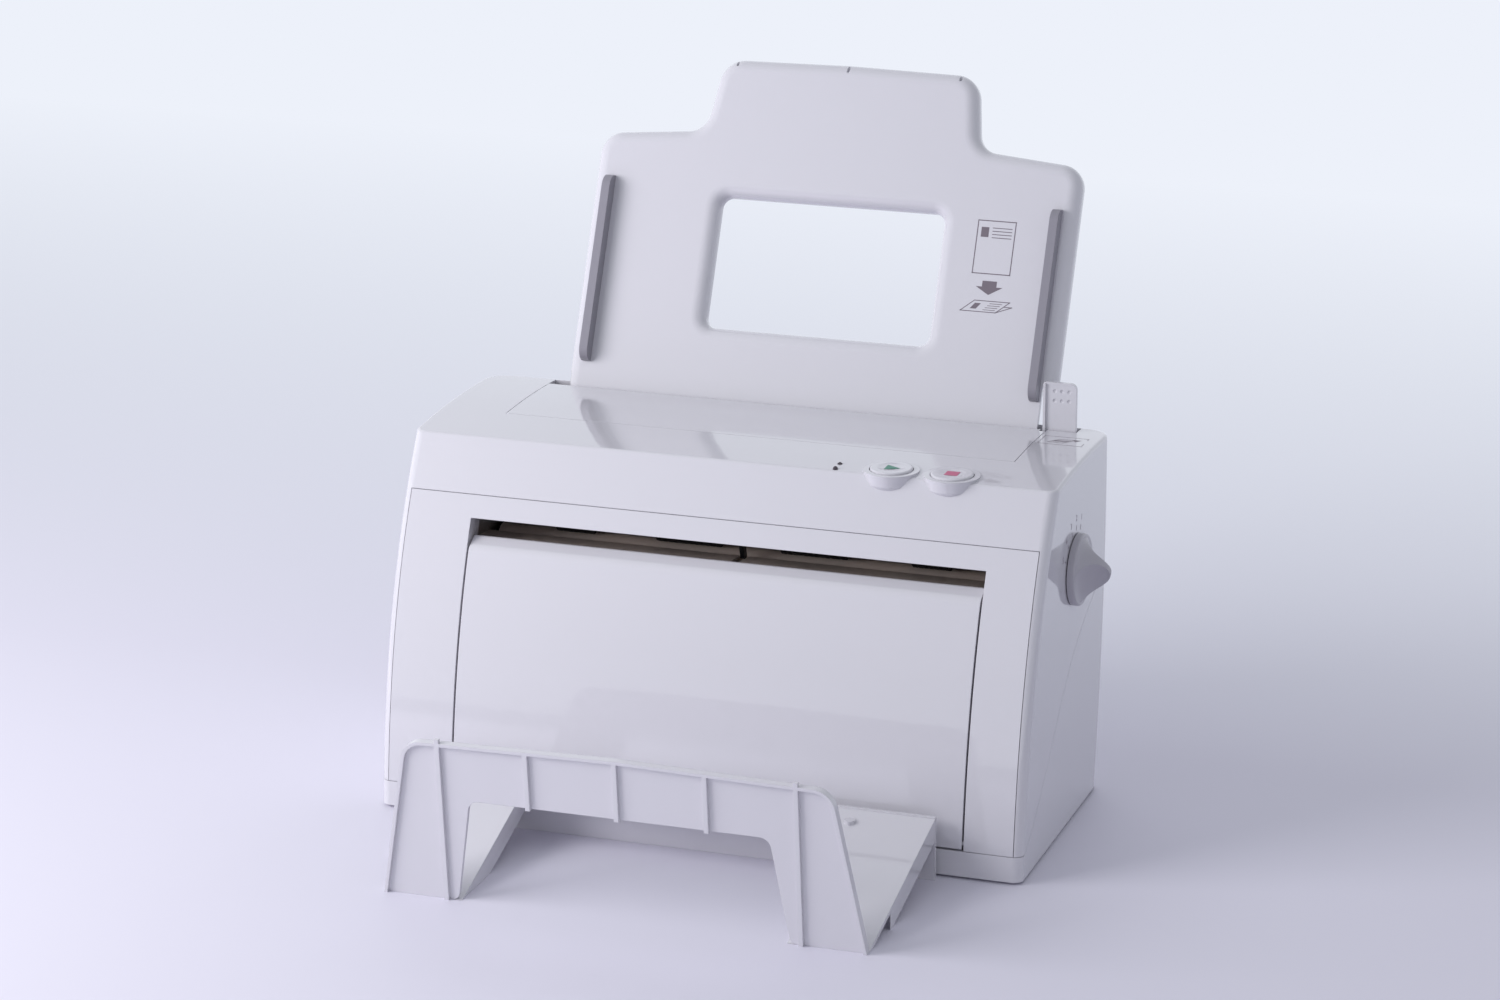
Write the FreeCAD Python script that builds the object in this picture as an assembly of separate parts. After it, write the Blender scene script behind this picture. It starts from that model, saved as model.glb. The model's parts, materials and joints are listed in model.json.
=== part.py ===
import FreeCAD, Part
import math
import os

# Desk-top paper folding machine. Millimetres, X to the right, Y to the back, Z up.
# Everything is drawn with Y = 0 at the foot of the front face and Z = 0 on the desk,
# then moved so that the origin lies on the desk under the middle of the body.

V = FreeCAD.Vector

# Body
BODY_WIDTH = 300.0
BODY_DEPTH = 144.0
WALL = 2.5
SEAM_GAP = 0.25
FOOT_HEIGHT = 1.2
CREASE_Y = 49.5
CREASE_Z = 163.4
FACE_PULL_LOW = 4.0
FACE_PULL_HIGH = 15.7
TOP_CROWN_Z = 165.7
REAR_TOP_Z = 164.2
REAR_WAIST_Y = 142.6
REAR_WAIST_Z = 80.0
REAR_FOOT_Y = 132.0
FRONT_CORNER_R = 4.5
REAR_CORNER_R = 12.0
TOP_EDGE_R = 1.6
PLINTH_Z = 12.4
SEAM_FRONT_Y = 6.0
SEAM_MID = ((43.0, 42.8), (79.0, 77.0), (117.0, 97.5))
SEAM_REAR = (160.0, 110.0)
FOOT_R = 8.0
FOOT_INSET_X = 22.0
FOOT_INSET_Y = 20.0

# Front panel, exit opening and door
PANEL_HALF_WIDTH = 146.3
PANEL_TOP_Z = 140.3
PAPER_X = 4.0
OPENING_HALF_WIDTH = 119.8
OPENING_TOP_Z = 130.6
DOOR_SIDE_GAP = 0.9
DOOR_BOTTOM_Z = 13.4
DOOR_WALL = 2.2
DOOR_BEND_Z = 116.4
DOOR_LIP_Y = 34.0
DOOR_LIP_Z = 121.8
DOOR_FLANGE = 9.0
DOOR_HINGE_Y = 3.6
DOOR_HINGE_Z = 15.4
DOOR_PIN_R = 1.0
PIN_CLEARANCE = 0.05

# Top lid, buttons and lamps
LID_X = 2.0
LID_HALF_WIDTH = 119.8
LID_FRONT_Y = 81.3
LID_REAR_Y = 134.0
LID_GAP = 0.3
LID_WALL = 2.2
LID_HINGE_Y = 129.6
LID_HINGE_Z = 161.8
LID_PIN_R = 1.2
LID_SWING = 90.0
BUTTON_X = (73.3, 100.9)
BUTTON_Y = 56.0
BUTTON_R = 9.5
BUTTON_GAP = 0.3
BUTTON_TRAVEL = 1.2
BUTTON_RISE = 0.9
BOSS_R = 12.5
BOSS_WAIST_R = 11.4
BOSS_WAIST = 5.4
BOSS_FOOT_R = 5.0
BOSS_DEPTH = 13.0
BOSS_TOP_Z = 164.7
LAMP_X = 49.0
LAMP_Y = (51.6, 58.0)
LAMP_R = 1.1

# Feed tray
TRAY_X = 5.0
TRAY_LEAN = 24.65
TRAY_Y = 139.2
TRAY_Z = 164.0
TRAY_HALF_WIDTH = 116.8
TRAY_LENGTH = 160.3
TRAY_SHOULDER = 123.2
TRAY_NECK_HALF = 61.5
TRAY_NECK_FOOT_HALF = 66.5
TRAY_WALL = 2.2
TRAY_ROLL_DEPTH = 8.0
TRAY_ROLL_R = 6.0
TRAY_TONGUE = 10.0
TRAY_FLANGE_START = 6.0
WINDOW_HALF_WIDTH = 54.0
WINDOW_LOW = 32.8
WINDOW_HIGH = 94.4
PAPER_WIDTH = 210.0
PAPER_PLAY = 2.0
GUIDE_WIDTH = 4.0
GUIDE_HEIGHT = 6.8
GUIDE_LOW = 11.4
GUIDE_HIGH = 99.6

# Feed release lever
LEVER_X = (119.9, 135.2)
LEVER_Y = 135.4
LEVER_THICK = 1.8
LEVER_TOP_Z = 187.0
LEVER_PIVOT_Z = 143.0
LEVER_ARM_X = (130.6, 135.2)
LEVER_SWING = 12.0
STUD_R = 2.5

# Selector knob
KNOB_Y = 82.0
KNOB_Z = 118.5
KNOB_R = 16.1
KNOB_DISC = 3.4
KNOB_REACH = 16.0
GRIP_SCOOP_R = 12.4
DIAL_REST = 33.0
SELECTOR_SHAFT_R = 3.0
SELECTOR_BACK = 26.0
SELECTOR_FORWARD = 62.0
FLAG_SWING = 20.0

# Frames, rollers and gears
FRAME_THICK = 1.6
FRAME_LEFT_X = -120.0
FRAME_RIGHT_X = 127.2
FRAME_TOP_Z = 156.0
MODULE = 1.0
TOOTH_BACKLASH = 0.22
CENTRE_EASE = 0.1
ROLLER_TEETH = 18
ROLLER_GAP = 0.3
ROLLER_HALF_LENGTH = 120.0
JOURNAL_R = 3.0
BUSH_R = 5.0
BUSH_FLANGE_R = 6.5
BUSH_FLANGE = 1.2
LOWER_EXIT = (70.0, 108.0)
ANGLE_TO_UPPER_EXIT = 98.0
ANGLE_TO_MAIN = -13.0
ANGLE_MAIN_TO_ENTRY = -70.0
TYRE_OFFSETS = ((-82.3, 17.0), (-28.0, 30.0), (31.0, 30.0), (85.5, 17.0))
EXIT_SHAFT_R = 4.5
PICKUP_R = 12.0
PICKUP_DEPTH = 30.0
PICKUP_GAP = 0.6
PICKUP_TEETH = 24
PICKUP_TYRES = ((-45.0, 26.0), (45.0, 26.0))
PICKUP_SHAFT_R = 4.0
IDLER_TEETH = 28
REDUCTION_BIG = 44
REDUCTION_SMALL = 14
MOTOR_TEETH = 12
REDUCTION_ANGLE = -60.0
MOTOR_ANGLE = -101.0
GEAR_X = (-127.5, -121.7)
GEAR_OUTER_X = (-134.0, -128.2)
MOTOR_R = 15.0
MOTOR_LENGTH = 46.0
MOTOR_SHAFT_R = 1.5
TIE_BAR_R = 3.0

# Fold plates and fold stop
SHEET = 0.8
PAPER_GAP = 3.0
NIP_CLEAR = 8.0
PLATE_IN = 28.0
UPPER_RUN = 16.0
UPPER_BEND_R = 14.0
PLATE_BEND_R = 40.0
PLATE_BEND = 60.0
PLATE_DROP = 26.0
PLATE_TOE_R = 16.0
PLATE_FLOOR = 54.0
RACK_TEETH_RADIUS = 10.0
RACK_X = (130.6, 134.6)
STOP_FINGERS = (-84.0, -30.0, 38.0, 92.0)
FINGER_WIDTH = 6.0

# Paper lift plate, in tray coordinates
LIFT_HIGH = -13.0
LIFT_LOW = -43.0
LIFT_THICK = 1.5
LIFT_HALF_WIDTH = 106.0
LIFT_PIVOT_BACK = 4.2
LIFT_PIN_R = 1.5
LIFT_SWING = 6.0

# Catch tray
CATCH_X = 0.8
CATCH_WALL = 2.0
CATCH_TOP_Y = -97.4
CATCH_TOP_Z = 74.6
CATCH_FOOT_Y = -90.4
CATCH_FOOT_HALF = 109.1
CATCH_TOP_HALF = 95.6
CATCH_ARCH_FOOT_HALF = 75.0
CATCH_ARCH_TOP_HALF = 67.2
CATCH_ARCH_Z = 48.2
CATCH_REAR_Y = -2.9
CATCH_REAR_Z = 29.0
CATCH_REAR_HALF = 112.0
CATCH_SKIRT = 10.5
CATCH_RIB_PITCH = 40.0
CATCH_RIB = 2.1
CATCH_BEAD = 1.5
CATCH_RIM = 1.6

ORIGIN_Y = BODY_DEPTH / 2


# Derived places

def polar(centre, distance, degrees):
    a = math.radians(degrees)
    return (centre[0] + distance * math.cos(a), centre[1] + distance * math.sin(a))


def meshing_centre(c1, d1, c2, d2):
    """The point at distance d1 from c1 and d2 from c2, on the left of the line c1 to c2."""
    dy = c2[0] - c1[0]
    dz = c2[1] - c1[1]
    span = math.hypot(dy, dz)
    along = (d1 * d1 - d2 * d2 + span * span) / (2 * span)
    across = math.sqrt(d1 * d1 - along * along)
    return (c1[0] + (along * dy - across * dz) / span, c1[1] + (along * dz + across * dy) / span)


def tray_point(u, v, w):
    """Tray coordinates: u to the right, v up the slope, w out of the paper side."""
    lean = math.radians(TRAY_LEAN)
    y = TRAY_Y + v * math.sin(lean) - w * math.cos(lean)
    z = TRAY_Z + v * math.cos(lean) + w * math.sin(lean)
    return V(TRAY_X + u, y, z)


def pitch_r(teeth):
    return MODULE * teeth / 2


ROLLER_PITCH = pitch_r(ROLLER_TEETH)
ROLLER_R = ROLLER_PITCH - ROLLER_GAP / 2
UPPER_EXIT = polar(LOWER_EXIT, 2 * ROLLER_PITCH, ANGLE_TO_UPPER_EXIT)
MAIN = polar(LOWER_EXIT, 2 * ROLLER_PITCH, ANGLE_TO_MAIN)
ENTRY = polar(MAIN, 2 * ROLLER_PITCH, ANGLE_MAIN_TO_ENTRY)
ENTRY_NIP = polar(MAIN, ROLLER_PITCH, ANGLE_MAIN_TO_ENTRY)
ENTRY_HEADING = 270.0 + ANGLE_MAIN_TO_ENTRY
SECOND_NIP = polar(LOWER_EXIT, ROLLER_PITCH, ANGLE_TO_MAIN)
SECOND_HEADING = 90.0 + ANGLE_TO_MAIN
EXIT_NIP = polar(LOWER_EXIT, ROLLER_PITCH, ANGLE_TO_UPPER_EXIT)
PICKUP_POINT = tray_point(0, -PICKUP_DEPTH, PICKUP_R + PICKUP_GAP)
PICKUP = (PICKUP_POINT.y, PICKUP_POINT.z)
IDLER = meshing_centre(MAIN, ROLLER_PITCH + pitch_r(IDLER_TEETH), PICKUP,
                       pitch_r(PICKUP_TEETH) + pitch_r(IDLER_TEETH))
REDUCTION = polar(ENTRY, ROLLER_PITCH + pitch_r(REDUCTION_SMALL), REDUCTION_ANGLE)
MOTOR = polar(REDUCTION, pitch_r(REDUCTION_BIG) + pitch_r(MOTOR_TEETH) + CENTRE_EASE, MOTOR_ANGLE)
DROP_HEADING = ENTRY_HEADING + PLATE_BEND
LIFT_PIVOT_POINT = tray_point(0, LIFT_HIGH, -LIFT_PIVOT_BACK)
LIFT_PIVOT = (LIFT_PIVOT_POINT.y, LIFT_PIVOT_POINT.z)
FRAME_INNER_LEFT = FRAME_LEFT_X + FRAME_THICK
OPENING_LEFT = PAPER_X - OPENING_HALF_WIDTH
OPENING_RIGHT = PAPER_X + OPENING_HALF_WIDTH
HALF_WIDTH = BODY_WIDTH / 2


def face_y(z):
    """Y of the front face at height z."""
    t = z / CREASE_Z
    return 3 * FACE_PULL_LOW * t * (1 - t) ** 2 + 3 * FACE_PULL_HIGH * t * t * (1 - t) + CREASE_Y * t ** 3


# Shape helpers

def box(x0, y0, z0, x1, y1, z1):
    return Part.makeBox(x1 - x0, y1 - y0, z1 - z0, V(x0, y0, z0))


def rod(centre, radius, x0, x1):
    """Round bar along X at the point (y, z)."""
    return Part.makeCylinder(radius, x1 - x0, V(x0, centre[0], centre[1]), V(1, 0, 0))


def post(x, y, radius, z0, z1):
    return Part.makeCylinder(radius, z1 - z0, V(x, y, z0), V(0, 0, 1))


def rounded_wire(corners):
    """Closed wire in the XY plane through (x, y, radius) corners."""
    count = len(corners)
    starts = []
    ends = []
    mids = []
    for i in range(count):
        x, y, r = corners[i]
        before = corners[i - 1]
        after = corners[(i + 1) % count]
        here = V(x, y, 0)
        to_before = (V(before[0], before[1], 0) - here).normalize()
        to_after = (V(after[0], after[1], 0) - here).normalize()
        half = to_before.getAngle(to_after) / 2
        reach = r / math.tan(half) if r > 0 else 0.0
        bisector = to_before + to_after
        starts.append(here + to_before * reach)
        ends.append(here + to_after * reach)
        if r > 0:
            mids.append(here + bisector.normalize() * (r / math.sin(half) - r))
        else:
            mids.append(here)
    edges = []
    for i in range(count):
        if corners[i][2] > 0:
            edges.append(Part.Arc(starts[i], mids[i], ends[i]).toShape())
        nxt = (i + 1) % count
        if (starts[nxt] - ends[i]).Length > 1e-6:
            edges.append(Part.LineSegment(ends[i], starts[nxt]).toShape())
    return Part.Wire(edges)


def plate_xy(corners, z0, z1):
    face = Part.Face(rounded_wire(corners))
    face.translate(V(0, 0, z0))
    return face.extrude(V(0, 0, z1 - z0))


def plate_yz(corners, x0, x1):
    """Plate with its outline in the YZ plane, from x0 to x1."""
    shape = plate_xy(corners, 0, x1 - x0)
    turn = FreeCAD.Matrix(0, 0, 1, x0, 1, 0, 0, 0, 0, 1, 0, 0, 0, 0, 0, 1)
    return moved(shape, FreeCAD.Placement(turn))


def moved(shape, placement):
    shape = shape.copy()
    shape.Placement = placement.multiply(shape.Placement)
    return shape


def on_slope(shape, x, y, z, degrees):
    """Turn a flat shape about X, so that its own Y climbs by the angle, and put it in place."""
    return moved(shape, FreeCAD.Placement(V(x, y, z), FreeCAD.Rotation(V(1, 0, 0), degrees)))


def fuse_all(shapes):
    result = shapes[0]
    if len(shapes) > 1:
        result = result.multiFuse(shapes[1:])
    return result.removeSplitter()


def strip_yz(start, heading, moves, near, far, x0, x1):
    """Bent sheet: a path of lines (length,) and bends (radius, turn), between two offsets."""
    sides = []
    for offset in (near, far):
        p = V(start[0], start[1], 0)
        h = heading
        edges = []
        for move in moves:
            left = V(-math.sin(math.radians(h)), math.cos(math.radians(h)), 0)
            ahead = V(left.y, -left.x, 0)
            if len(move) == 1:
                q = p + ahead * move[0]
                edges.append((p + left * offset, None, q + left * offset))
                p = q
            else:
                radius, turn = move
                side = 1 if turn > 0 else -1
                centre = p + left * (radius * side)
                arm = left * (-side)
                mid = FreeCAD.Rotation(V(0, 0, 1), turn / 2).multVec(arm)
                end = FreeCAD.Rotation(V(0, 0, 1), turn).multVec(arm)
                r = radius - offset * side
                edges.append((centre + arm * r, centre + mid * r, centre + end * r))
                p = centre + end * radius
                h += turn
        sides.append(edges)
    outline = []
    for a, m, b in sides[0]:
        outline.append(edge_between(a, m, b))
    outline.append(Part.LineSegment(sides[0][-1][2], sides[1][-1][2]).toShape())
    for a, m, b in reversed(sides[1]):
        outline.append(edge_between(b, m, a))
    outline.append(Part.LineSegment(sides[1][0][0], sides[0][0][0]).toShape())
    solid = Part.Face(Part.Wire(outline)).extrude(V(0, 0, x1 - x0))
    turn = FreeCAD.Matrix(0, 0, 1, x0, 1, 0, 0, 0, 0, 1, 0, 0, 0, 0, 0, 1)
    return moved(solid, FreeCAD.Placement(turn))


def edge_between(a, mid, b):
    if mid is None:
        return Part.LineSegment(a, b).toShape()
    return Part.Arc(a, mid, b).toShape()


def path_end(start, heading, moves):
    """Where a path of lines and bends ends, with its heading there."""
    y, z = start
    h = heading
    for move in moves:
        if len(move) == 1:
            y, z = polar((y, z), move[0], h)
        else:
            radius, turn = move
            side = 90 if turn > 0 else -90
            centre = polar((y, z), radius, h + side)
            h += turn
            y, z = polar(centre, radius, h - side)
    return (y, z), h


# Casing

def side_profile(shift_y, shift_z):
    """The body's side outline in the YZ plane, moved by a shift."""
    poles = [V(0, 0, 0), V(0, FACE_PULL_LOW, CREASE_Z / 3), V(0, FACE_PULL_HIGH, CREASE_Z * 2 / 3),
             V(0, CREASE_Y, CREASE_Z)]
    front = Part.BezierCurve()
    front.setPoles(poles)
    mid_y = (CREASE_Y + BODY_DEPTH) / 2
    top = Part.Arc(V(0, CREASE_Y, CREASE_Z), V(0, mid_y, TOP_CROWN_Z), V(0, BODY_DEPTH, REAR_TOP_Z))
    rear = Part.Arc(V(0, BODY_DEPTH, REAR_TOP_Z), V(0, REAR_WAIST_Y, REAR_WAIST_Z), V(0, REAR_FOOT_Y, 0))
    sole = Part.LineSegment(V(0, REAR_FOOT_Y, 0), V(0, 0, 0))
    wire = Part.Wire([front.toShape(), top.toShape(), rear.toShape(), sole.toShape()])
    wire.translate(V(0, shift_y, shift_z))
    return wire


def profile_block(half_width, shift_y, shift_z):
    face = Part.Face(side_profile(shift_y, shift_z))
    face.translate(V(-half_width, 0, 0))
    return face.extrude(V(2 * half_width, 0, 0))


def edges_near(shape, test):
    found = []
    for edge in shape.Edges:
        a = edge.valueAt(edge.FirstParameter)
        b = edge.valueAt(edge.LastParameter)
        m = edge.valueAt((edge.FirstParameter + edge.LastParameter) / 2)
        if test(a, m, b):
            found.append(edge)
    return found


def outer_block():
    block = profile_block(HALF_WIDTH, 0, 0)
    mid_z = CREASE_Z / 2

    def on_side(a, b):
        return abs(a.x - b.x) < 0.01

    rear = edges_near(block, lambda a, m, b: on_side(a, b) and abs(a.z - b.z) > 100 and m.y > mid_z)
    front = edges_near(block, lambda a, m, b: on_side(a, b) and abs(a.z - b.z) > 100 and m.y < mid_z)
    block = block.makeFillet(REAR_CORNER_R, rear)
    front = edges_near(block, lambda a, m, b: on_side(a, b) and abs(a.z - b.z) > 100 and m.y < 60
                       and abs(abs(m.x) - HALF_WIDTH) < 0.01)
    block = block.makeFillet(FRONT_CORNER_R, front)
    rim = edges_near(block, lambda a, m, b: m.z > CREASE_Z - 0.6 and min(a.z, b.z) > CREASE_Z - 2.0)
    return block.makeFillet(TOP_EDGE_R, rim)


def inner_block():
    half = HALF_WIDTH - WALL
    block = profile_block(half, WALL, 0).common(profile_block(half, -WALL, 0))
    block = block.common(profile_block(half, 0, -WALL))
    rear = edges_near(block, lambda a, m, b: abs(a.x - b.x) < 0.01 and abs(a.z - b.z) > 100 and m.y > 100)
    block = block.makeFillet(REAR_CORNER_R - WALL, rear)
    return block.common(box(-200, -50, FOOT_HEIGHT + WALL, 200, 200, 300))


def below_seam(raise_by):
    """Everything under the seam between the base casing and the hood."""
    points = [V(0, SEAM_FRONT_Y, PLINTH_Z + raise_by)]
    for y, z in SEAM_MID + (SEAM_REAR,):
        points.append(V(0, y, z + raise_by))
    curve = Part.BSplineCurve()
    curve.interpolate(points)
    first = points[0]
    last = points[-1]
    corners = [last, V(0, last.y, -20), V(0, -20, -20), V(0, -20, first.z), first]
    edges = [curve.toShape()]
    for a, b in zip(corners, corners[1:]):
        edges.append(Part.LineSegment(a, b).toShape())
    face = Part.Face(Part.Wire(edges))
    face.translate(V(-200, 0, 0))
    return face.extrude(V(400, 0, 0))


def face_slab(z0, z1, near, far, x0, x1):
    """Slab that follows the front face between two depths behind it."""
    block = profile_block((x1 - x0) / 2, near, 0)
    block.translate(V((x0 + x1) / 2, 0, 0))
    back = profile_block((x1 - x0) / 2 + 1, far, 0)
    back.translate(V((x0 + x1) / 2, 0, 0))
    slab = block.cut(back)
    slab = slab.common(box(x0, -30, z0, x1, REAR_FOOT_Y / 2 + far, z1))
    return slab


def base_casing(shell):
    base = shell.common(below_seam(0))
    base = base.common(box(-200, -50, FOOT_HEIGHT, 200, 300, 300))
    inlet_x, inlet_z = inlet_place()
    pocket = box(inlet_x - INLET_WIDTH / 2, BODY_DEPTH - 30, inlet_z - INLET_HEIGHT / 2,
                 inlet_x + INLET_WIDTH / 2, BODY_DEPTH + 5, inlet_z + INLET_HEIGHT / 2)
    base = base.cut(pocket)
    floor_top = FOOT_HEIGHT + WALL
    bosses = []
    for x, y in board_posts():
        reach = rear_inner_y(y) - BOARD_Y
        bosses.append(Part.makeCylinder(3.0, reach + 1.0, V(x, BOARD_Y + BOARD_THICK, y), V(0, 1, 0)))
    base = fuse_all([base] + bosses)
    for x, y in screw_places():
        base = base.cut(post(x, y, 1.6, FOOT_HEIGHT - 1, floor_top + 1))
        base = base.cut(Part.makeCone(3.2, 1.6, 1.6, V(x, y, FOOT_HEIGHT), V(0, 0, 1)))
    return base


def rear_inner_y(z):
    """Y of the rear wall's inner face at height z, on the arc through its three points."""
    arc = Part.Arc(V(0, BODY_DEPTH, REAR_TOP_Z), V(0, REAR_WAIST_Y, REAR_WAIST_Z), V(0, REAR_FOOT_Y, 0))
    circle = arc.toShape().Curve
    c = circle.Center
    return c.y + math.sqrt(circle.Radius ** 2 - (z - c.z) ** 2) - WALL


INLET_WIDTH = 22.0
INLET_HEIGHT = 16.0
BOARD_Y = 128.0
BOARD_THICK = 1.6
BOARD_X = (-70.0, 40.0)
BOARD_Z = (20.0, 72.0)


def inlet_place():
    return (100.0, 30.0)


def board_posts():
    inset = 5.0
    places = []
    for x in (BOARD_X[0] + inset, BOARD_X[1] - inset):
        for z in (BOARD_Z[0] + inset, BOARD_Z[1] - inset):
            places.append((x, z))
    return places


def screw_places():
    """Casing screws come up through the flanges of the two side frames."""
    left = FRAME_LEFT_X - 5.0
    right = FRAME_RIGHT_X + FRAME_THICK + 5.0
    return [(left, 32.0), (left, 112.0), (right, 32.0), (right, 112.0)]


def hood(shell):
    body = shell.cut(below_seam(SEAM_GAP))
    panel_hole = face_slab(PLINTH_Z - 5, PANEL_TOP_Z, -3, WALL + 0.5, -PANEL_HALF_WIDTH, PANEL_HALF_WIDTH)
    body = body.cut(panel_hole)
    top = CREASE_Z + 8
    bosses = []
    for x in BUTTON_X:
        lip = Part.makeCone(BOSS_WAIST_R, BOSS_R, BOSS_WAIST, V(x, BUTTON_Y, BOSS_TOP_Z - BOSS_WAIST))
        bowl = Part.makeCone(BOSS_FOOT_R, BOSS_WAIST_R, BOSS_DEPTH - BOSS_WAIST, V(x, BUTTON_Y, BOSS_TOP_Z - BOSS_DEPTH))
        bosses += [lip, bowl]
    boss_tops = fuse_all(bosses).cut(inner_block())
    body = fuse_all([body, boss_tops])
    for x in BUTTON_X:
        bore = BUTTON_R + BUTTON_GAP
        well = post(x, BUTTON_Y, bore, BOSS_TOP_Z - 5.0, top)
        rear = post(x, BUTTON_Y, bore, CREASE_Z - 4.9, top).common(box(x - 20, BUTTON_Y - 4.0, 0, x + 20, BUTTON_Y + 20, 200))
        body = body.cut(well).cut(rear)
    for y in LAMP_Y:
        body = body.cut(post(LAMP_X, y, LAMP_R + 0.1, CREASE_Z - 6, top))
    slot_rear = BODY_DEPTH - WALL + 1.0
    body = body.cut(box(LID_X - LID_HALF_WIDTH - LID_GAP, LID_FRONT_Y - LID_GAP, CREASE_Z - 5,
                        LID_X + LID_HALF_WIDTH + LID_GAP, slot_rear, top))
    body = body.cut(box(LEVER_X[0] - 0.5, LEVER_Y - 1.6, CREASE_Z - 8, LEVER_X[1] + 0.5, slot_rear, top))
    body = body.cut(rod((KNOB_Y, KNOB_Z), SELECTOR_SHAFT_R + 0.5, HALF_WIDTH - 10, HALF_WIDTH + 5))
    tabs = []
    for x0, x1 in lid_bracket_spans():
        tab = plate_yz([(LID_HINGE_Y - 3.2, LID_HINGE_Z - 2.4, 1.0), (LID_HINGE_Y + 3.2, LID_HINGE_Z - 2.4, 1.0),
                        (LID_HINGE_Y + 3.2, CREASE_Z - 1, 0), (LID_HINGE_Y - 3.2, CREASE_Z - 1, 0)], x0, x1)
        tabs.append(tab)
    body = fuse_all([body] + tabs)
    for x0, x1 in lid_bracket_spans():
        body = body.cut(rod((LID_HINGE_Y, LID_HINGE_Z), LID_PIN_R + PIN_CLEARANCE, x0 - 0.5, x1 + 0.5))
    return body


def lid_bracket_spans():
    left = LID_X - LID_HALF_WIDTH - LID_GAP
    right = LID_X + LID_HALF_WIDTH + LID_GAP
    return ((left - 3.6, left - 0.4), (right + 0.4, right + 3.6))


def front_panel():
    top = PANEL_TOP_Z - SEAM_GAP
    foot = PLINTH_Z + SEAM_GAP
    half = PANEL_HALF_WIDTH - SEAM_GAP
    slab = face_slab(foot, top, 0, WALL, -half, half)
    slab = slab.cut(box(OPENING_LEFT, -20, foot - 1, OPENING_RIGHT, 80, OPENING_TOP_Z))
    flange = 12.0
    pieces = [slab]
    for x0 in (OPENING_LEFT - 2.0, OPENING_RIGHT):
        pieces.append(face_slab(foot, OPENING_TOP_Z + 2, 0.5, flange, x0, x0 + 2.0))
    pieces.append(face_slab(OPENING_TOP_Z, OPENING_TOP_Z + 2, 0.5, flange - 4, OPENING_LEFT - 2, OPENING_RIGHT + 2))
    for x in (-130.0, -60.0, 10.0, 80.0, 130.0):
        pieces.append(face_slab(top - 8, top + 6, WALL, WALL + 1.5, x - 6, x + 6))
    panel = fuse_all(pieces)
    hinge = rod((DOOR_HINGE_Y, DOOR_HINGE_Z), DOOR_PIN_R + PIN_CLEARANCE, OPENING_LEFT - 3, OPENING_RIGHT + 3)
    return panel.cut(hinge)


def front_door():
    left = OPENING_LEFT + DOOR_SIDE_GAP
    right = OPENING_RIGHT - DOOR_SIDE_GAP
    skin = face_slab(DOOR_BOTTOM_Z, DOOR_BEND_Z, 0, DOOR_WALL, left, right)
    bend_y = face_y(DOOR_BEND_Z)
    lip = strip_yz((bend_y, DOOR_BEND_Z), 69.0, [(6.0, -42.0), (lip_run(bend_y),), (2.4, -60.0)],
                   0, -DOOR_WALL, left, right)
    pieces = [skin, lip]
    for x0 in (left, right - 2.0):
        pieces.append(face_slab(DOOR_BOTTOM_Z, DOOR_BEND_Z, 0.5, DOOR_FLANGE, x0, x0 + 2.0))
    for k in range(1, 5):
        x = left + (right - left) * k / 5
        pieces.append(face_slab(DOOR_BOTTOM_Z + 6, DOOR_BEND_Z - 8, 0.5, 6.0, x - 0.8, x + 0.8))
    door = fuse_all(pieces)
    pin = (DOOR_HINGE_Y, DOOR_HINGE_Z)
    stubs = [rod(pin, DOOR_PIN_R, OPENING_LEFT - 1.6, left + 1), rod(pin, DOOR_PIN_R, right - 1, OPENING_RIGHT + 1.6)]
    return fuse_all([door] + stubs)


def lip_run(bend_y):
    return math.hypot(DOOR_LIP_Y - bend_y, DOOR_LIP_Z - DOOR_BEND_Z) - 5.2


def top_lid():
    left = LID_X - LID_HALF_WIDTH
    right = LID_X + LID_HALF_WIDTH
    skin = profile_block(HALF_WIDTH, 0, 0).cut(profile_block(HALF_WIDTH + 1, 0, -LID_WALL))
    skin = skin.common(box(left, LID_FRONT_Y, CREASE_Z - 4, right, LID_REAR_Y, CREASE_Z + 10))
    notch = box(LEVER_X[0] - 1.0, LEVER_Y - 4.5, CREASE_Z - 10, right + 1, LID_REAR_Y + 1, CREASE_Z + 10)
    pieces = [skin]
    under = CREASE_Z - LID_WALL
    for x0 in (left + 1.5, right - 3.5):
        pieces.append(box(x0, LID_FRONT_Y + 2, under - 4, x0 + 2, LID_HINGE_Y - 6, CREASE_Z + 0.3))
    pieces.append(box(left + 1.5, LID_FRONT_Y + 2, under - 4, right - 1.5, LID_FRONT_Y + 4, CREASE_Z + 0.3))
    lid = fuse_all(pieces).cut(notch)
    ears = []
    for x0, x1 in ((left + 1.5, left + 4.0), (right - 4.0, right - 1.5)):
        ear = plate_yz([(LID_HINGE_Y - 2.6, LID_HINGE_Z - 2.0, 1.2), (LID_HINGE_Y + 0.4, LID_HINGE_Z - 2.0, 1.2),
                        (LID_HINGE_Y + 0.4, under + 2.5, 0), (LID_HINGE_Y - 2.6, under + 2.5, 0)], x0, x1)
        ears.append(ear)
    spans = lid_bracket_spans()
    pin = (LID_HINGE_Y, LID_HINGE_Z)
    ears.append(rod(pin, LID_PIN_R, spans[0][0], left + 4.0))
    ears.append(rod(pin, LID_PIN_R, right - 4.0, spans[1][1]))
    return fuse_all([lid] + ears)


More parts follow.
